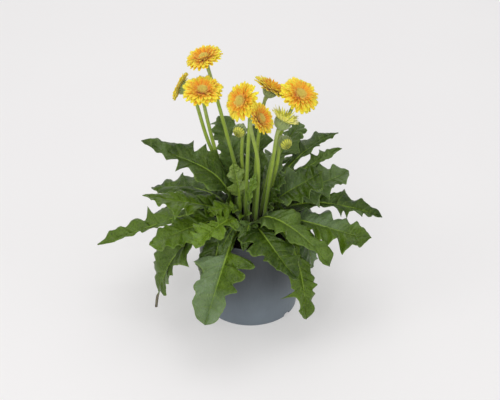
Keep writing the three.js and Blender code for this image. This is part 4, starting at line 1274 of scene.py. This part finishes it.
def velvet_petal():
    """Grown ray petal with a velvety skin: yellow rim and tip, orange throat in fine streaks."""
    made, add, _, spot, side = material("grown petal with velvety skin", "petal", "face")
    # Streaks run the length of a petal, about half a millimetre wide.
    lengthwise = add("Attribute", out="Vector", attribute_name="petal")
    lengthwise = add("VectorMath", [lengthwise, (1.3, 5.5, 40)], **TIMES)
    streak = add("TexNoise", {"Vector": lengthwise, "Scale": 1.6, "Detail": 3, "Roughness": 0.6})
    rim = add("Math", [add("Math", [spot["Y"]], operation="ABSOLUTE"), 2], operation="POWER")
    ripe = add("Math", [rim, 0.45, spot["X"]], **TIMES_PLUS)
    ripe = add("Math", [streak, 0.9, ripe], **TIMES_PLUS)
    ripe = add("Math", [spot["Z"], 0.4, ripe], **TIMES_PLUS)
    behind = add("Mix", {0: spot["X"], 6: linear("#e3b932"), 7: linear("#ffe24a")}, 2, data_type="RGBA")
    layers = [
        (add("MapRange", [ripe, 0.5, 1.1], **SMOOTH), "#f4a31c"),
        (add("MapRange", [ripe, 1.05, 1.7], **SMOOTH), "#ffea3e"),
        (add("Math", [side["X"], 0.9], operation="GREATER_THAN"), behind),
    ]
    surface = {
        "Roughness": 0.58,
        "IOR": 1.38,
        "Sheen Weight": 0.2,
        "Subsurface Weight": 0.4,
        "Subsurface Scale": 1.5 * MM,
        "Subsurface Radius": (1, 0.6, 0.15),
    }
    return finished(made, add, "#d9620a", layers, surface, [0.35, 0.25, streak])


def young_petal():
    """Grown unripe petal: matt greenish yellow, paler at its tip."""
    made, add, place, spot, side = material("grown unripe petal", "petal", "face")
    speckle = add("TexNoise", {"Vector": place, "Scale": per_metre(2.2), "Detail": 3, "Roughness": 0.6})
    ripe = add("Math", [speckle, 0.4, spot["X"]], **TIMES_PLUS)
    # The edges of the petals of a bud are darker, partly their own green, partly painted shade deep between
    # them.
    fold = add("Math", [spot["Y"]], operation="ABSOLUTE")
    fold = add("MapRange", [fold, 0.45, 1, 0, 0.62], **SMOOTH)
    layers = [
        (add("MapRange", [ripe, 0.1, 0.85], **SMOOTH), "#fff77c"),
        (add("Math", [side["Y"], 0.6], **TIMES), "#c8d43c"),
        (add("Math", [fold, side["Y"]], **TIMES), "#7d8c2c"),
        (add("MapRange", [spot["X"], 0, -0.6, 0, 0.9]), "#71803a"),
        # The inner petals of a closed bud are greener still.
        (add("Math", [side["Z"], 0.55], **TIMES), "#87953a"),
    ]
    surface = {
        "Roughness": 0.6,
        "IOR": 1.38,
        "Sheen Weight": 0.2,
        "Subsurface Weight": 0.45,
        "Subsurface Scale": 1.5 * MM,
        "Subsurface Radius": (1, 0.9, 0.35),
    }
    return finished(made, add, "#c4cf38", layers, surface, [0.3, 0.25, speckle])


def disc_florets():
    """Grown disc florets: pale olive yellow tubes with lighter lips."""
    made, add, place, spot = material("grown disc florets", "floret")
    speckle = add("TexNoise", {"Vector": place, "Scale": per_metre(0.9), "Detail": 2, "Roughness": 0.6})
    layers = [
        (add("MapRange", [spot["X"], 0.25, 0.85], **SMOOTH), "#e6d058"),
        (add("MapRange", [spot["Y"], 0.4, 1, 0, 0.7], **SMOOTH), "#f4e57e"),
        (add("Math", [spot["Z"], 0.35], **TIMES), "#dcbb46"),
    ]
    return finished(made, add, "#d8cb5a", layers, {"Roughness": 0.72, "IOR": 1.4}, [0.4, 0.2, speckle])


def woolly_sheath():
    """Grown leaf sheath with wool: brown at its foot, olive green above."""
    made, add, place, spot = material("grown sheath with wool", "sheath")
    fibre = add("TexNoise", {"Vector": place, "Scale": per_metre(2.4), "Detail": 4, "Roughness": 0.65})
    rise = add("Math", [fibre, 0.5, spot["X"]], **TIMES_PLUS)
    layers = [
        (add("MapRange", [rise, 0.4, 1.2], **SMOOTH), "#3d4a1c"),
        (add("Math", [spot["Y"], 0.5], **TIMES), "#20260f"),
    ]
    return finished(made, add, "#211911", layers, {"Roughness": 0.85, "IOR": 1.4}, [0.7, 0.6, fibre])


def down_hair():
    """Plant down: fine pale hairs that catch the light round stems and cups."""
    made, add, place = material("grown down")
    shift = add("TexNoise", {"Vector": place, "Scale": per_metre(4), "Detail": 1})
    return finished(made, add, "#99a55e", [(shift, "#bcc48a")], {"Roughness": 0.7, "IOR": 1.4})


def polypropylene():
    """Thermoformed polypropylene: slate grey, satin, faint draw marks; dust and painted floor light pale its
    lower wall.
    """
    made, add, place = material("thermoformed polypropylene")
    stretched = add("VectorMath", [place, (1, 1, 0.08)], **TIMES)
    noises = ((place, 60, 3, 0.5), (stretched, 3, 3, 0.6), (place, 0.8, 2, 0.5))
    cloud, drawn, grain = (
        add("TexNoise", {"Vector": at, "Scale": per_metre(size), "Detail": detail, "Roughness": roughness})
        for at, size, detail, roughness in noises
    )
    height = add("SeparateXYZ", [place], "Z")
    # Dust and painted light: the wall is paler towards its foot, as dust and as light bounced up from the
    # floor.
    dust_and_bounce_light = add("MapRange", [height, 125 * MM, 5 * MM, 0, 1], **SMOOTH)
    dust_and_bounce_light = add("Math", [dust_and_bounce_light, add("Math", [cloud, 0.6, 0.5], **TIMES_PLUS)], **TIMES)
    rough = add("MapRange", [drawn, 0.3, 0.7, 0.42, 0.58])
    relief = add("Math", [grain, 0.3, drawn], **TIMES_PLUS)
    layers = [(cloud, "#3e4348"), (dust_and_bounce_light, "#747f88")]
    return finished(made, add, "#2d3135", layers, {"Roughness": rough, "IOR": 1.49}, [0.25, 0.2, relief])


def peat():
    """Crumbled peat: moist black-brown soil with paler fibres."""
    made, add, place = material("crumbled peat")
    crumb = add("TexNoise", {"Vector": place, "Scale": per_metre(3), "Detail": 6, "Roughness": 0.7})
    fleck = add("TexVoronoi", {"Vector": place, "Scale": per_metre(2.2), "Randomness": 1}, "Distance")
    layers = [
        (add("MapRange", [crumb, 0.42, 0.72], **SMOOTH), "#3b2d20"),
        (add("MapRange", [fleck, 0.1, 0.02, 0, 0.5]), "#6b5a44"),
    ]
    return finished(made, add, "#15100c", layers, {"Roughness": 0.9, "IOR": 1.4}, [0.9, 1.2, crumb])


def opal_sheet():
    """Cast opal acrylic, as on a table lit from below: matt, near white, with pale soft shadows."""
    made, add, place = material("cast opal acrylic")
    cloud = add("TexNoise", {"Vector": place, "Scale": per_metre(400), "Detail": 1})
    surface = {
        "Roughness": 0.85,
        "IOR": 1.45,
        "Emission Color": linear("#f4f2f2"),
        "Emission Strength": 0.36,
    }
    return finished(made, add, "#c2c0c0", [(cloud, "#c5c4c3")], surface)


# ---------------------------------------------------------------- the plant in its pot

WAXY_LEAF = waxy_leaf()
FELTED_STEM = felted_stem()
VELVET_PETAL = velvet_petal()
YOUNG_PETAL = young_petal()
DISC_FLORETS = disc_florets()
WOOLLY_SHEATH = woolly_sheath()
DOWN = down_hair()
POLYPROPYLENE = polypropylene()
PEAT = peat()

pot()
soil()
crown()
for index, (name, *shape, tone) in enumerate(LEAVES):
    blade = Body()
    edges = [edge_points(text) for text in EDGES.get(name, [])]
    # A leaf not in the table gets a faint painted sheen, at random.
    painted_sheen = PAINTED_SHEENS.get(name, [0.15 * seeded(index + SHEEN_SEED)()] * 2)
    form = {"wing": WINGS.get(name, WING_WIDTH), "crisp": CRISPED.get(name, 1), "dry": WITHERED.get(name, 1)}
    leaf(blade, shape, CROWN_TOP + SEAT_GAP, index + 1, TONES[tone], painted_sheen, edges, **form)
    show(blade.placed(f"gerbera_leaf_{name}"), [WAXY_LEAF], "leaf_blade", f"leaf_{name}")

# What each kind of stem carries: how it is made, its name, its finish, its slot and its node.
HEADS = {
    "open": [
        (open_petals, "petals", VELVET_PETAL, "ray_petals", "flower_petals"),
        (disc, "disc", DISC_FLORETS, "disc_florets", "flower_disc"),
    ],
    "half": [(half_open_petals, "half_open_petals", YOUNG_PETAL, "young_petals", "half_open_petals")],
    "bud": [(bud_petals, "bud_petals", YOUNG_PETAL, "young_petals", "bud_petals")],
}
for index, (number, *_, kind) in enumerate(FLOWERS):
    seed = FLOWER_SEED + index
    stalk = stem_and_cup(FLOWERS[index], seed).placed(f"gerbera_stem_{number}")
    show(stalk, [FELTED_STEM, DOWN], "flower_stem", f"flower_stem_{number}")
    for build, name, look, slot, node in HEADS[kind]:
        piece = build(FLOWERS[index], seed).placed(f"gerbera_{name}_{number}")
        show(piece, [look], slot, f"{node}_{number}")

# ---------------------------------------------------------------- camera, floor and light

AIM = Vector((-0.7 * MM, 0, 209 * MM))
CAMERA_DISTANCE = 2.0
CAMERA_PITCH = math.radians(32)
LENS = 83.9  # on a sensor 36 mm wide
FLOOR_REACH = 8
# Each soft light: place, aim, size and watts.
SOFTBOXES = {
    "overhead": [(0, 0.3, 3.0), (0, 0, 0), (2.6, 2.2), 28],
    "front_key": [(-0.6, -2.8, 1.7), (0, 0, 0.15), (1.2, 1.2), 36],
    "left_key": [(-2.2, -0.9, 1.9), (0, 0, 0.2), (1.2, 1.2), 9],
    "right_fill": [(2.3, -1.0, 1.5), (0, 0, 0.2), (1.2, 1.2), 7],
    "back_wash": [(0, 2.9, 1.9), (0, 1.4, 0), (3.2, 1.4), 18],
}
WORLD_STRENGTH = 0.47

camera = put("camera", bpy.data.cameras.new("camera"))
camera.data.lens = LENS
camera.data.sensor_width = 36
camera.data.clip_end = 30
camera.location = AIM + CAMERA_DISTANCE * Vector((0, -math.cos(CAMERA_PITCH), math.sin(CAMERA_PITCH)))
camera.rotation_euler = (math.radians(90) - CAMERA_PITCH, 0, 0)
bpy.context.scene.camera = camera

floor = put("opal_floor", bpy.data.meshes.new("opal_floor"))
corners = [(FLOOR_REACH * x, FLOOR_REACH * y, 0) for x, y in ((-1, -1), (1, -1), (1, 1), (-1, 1))]
floor.data.from_pydata(corners, [], [[0, 1, 2, 3]])
floor.data.materials.append(opal_sheet())

for name, (place, aim, size, watts) in SOFTBOXES.items():
    light = put(name, bpy.data.lights.new(name, "AREA"))
    light.data.shape = "RECTANGLE"
    light.data.size, light.data.size_y = size
    light.data.energy = watts
    light.location = place
    light.rotation_euler = (Vector(aim) - Vector(place)).to_track_quat("-Z", "Y").to_euler()

world = bpy.data.worlds.new("studio")
world.use_nodes = True
background = world.node_tree.nodes["Background"]
background.inputs["Color"].default_value = linear("#f3f3f5")
background.inputs["Strength"].default_value = WORLD_STRENGTH
bpy.context.scene.world = world
bpy.context.scene.view_settings.view_transform = "Standard"
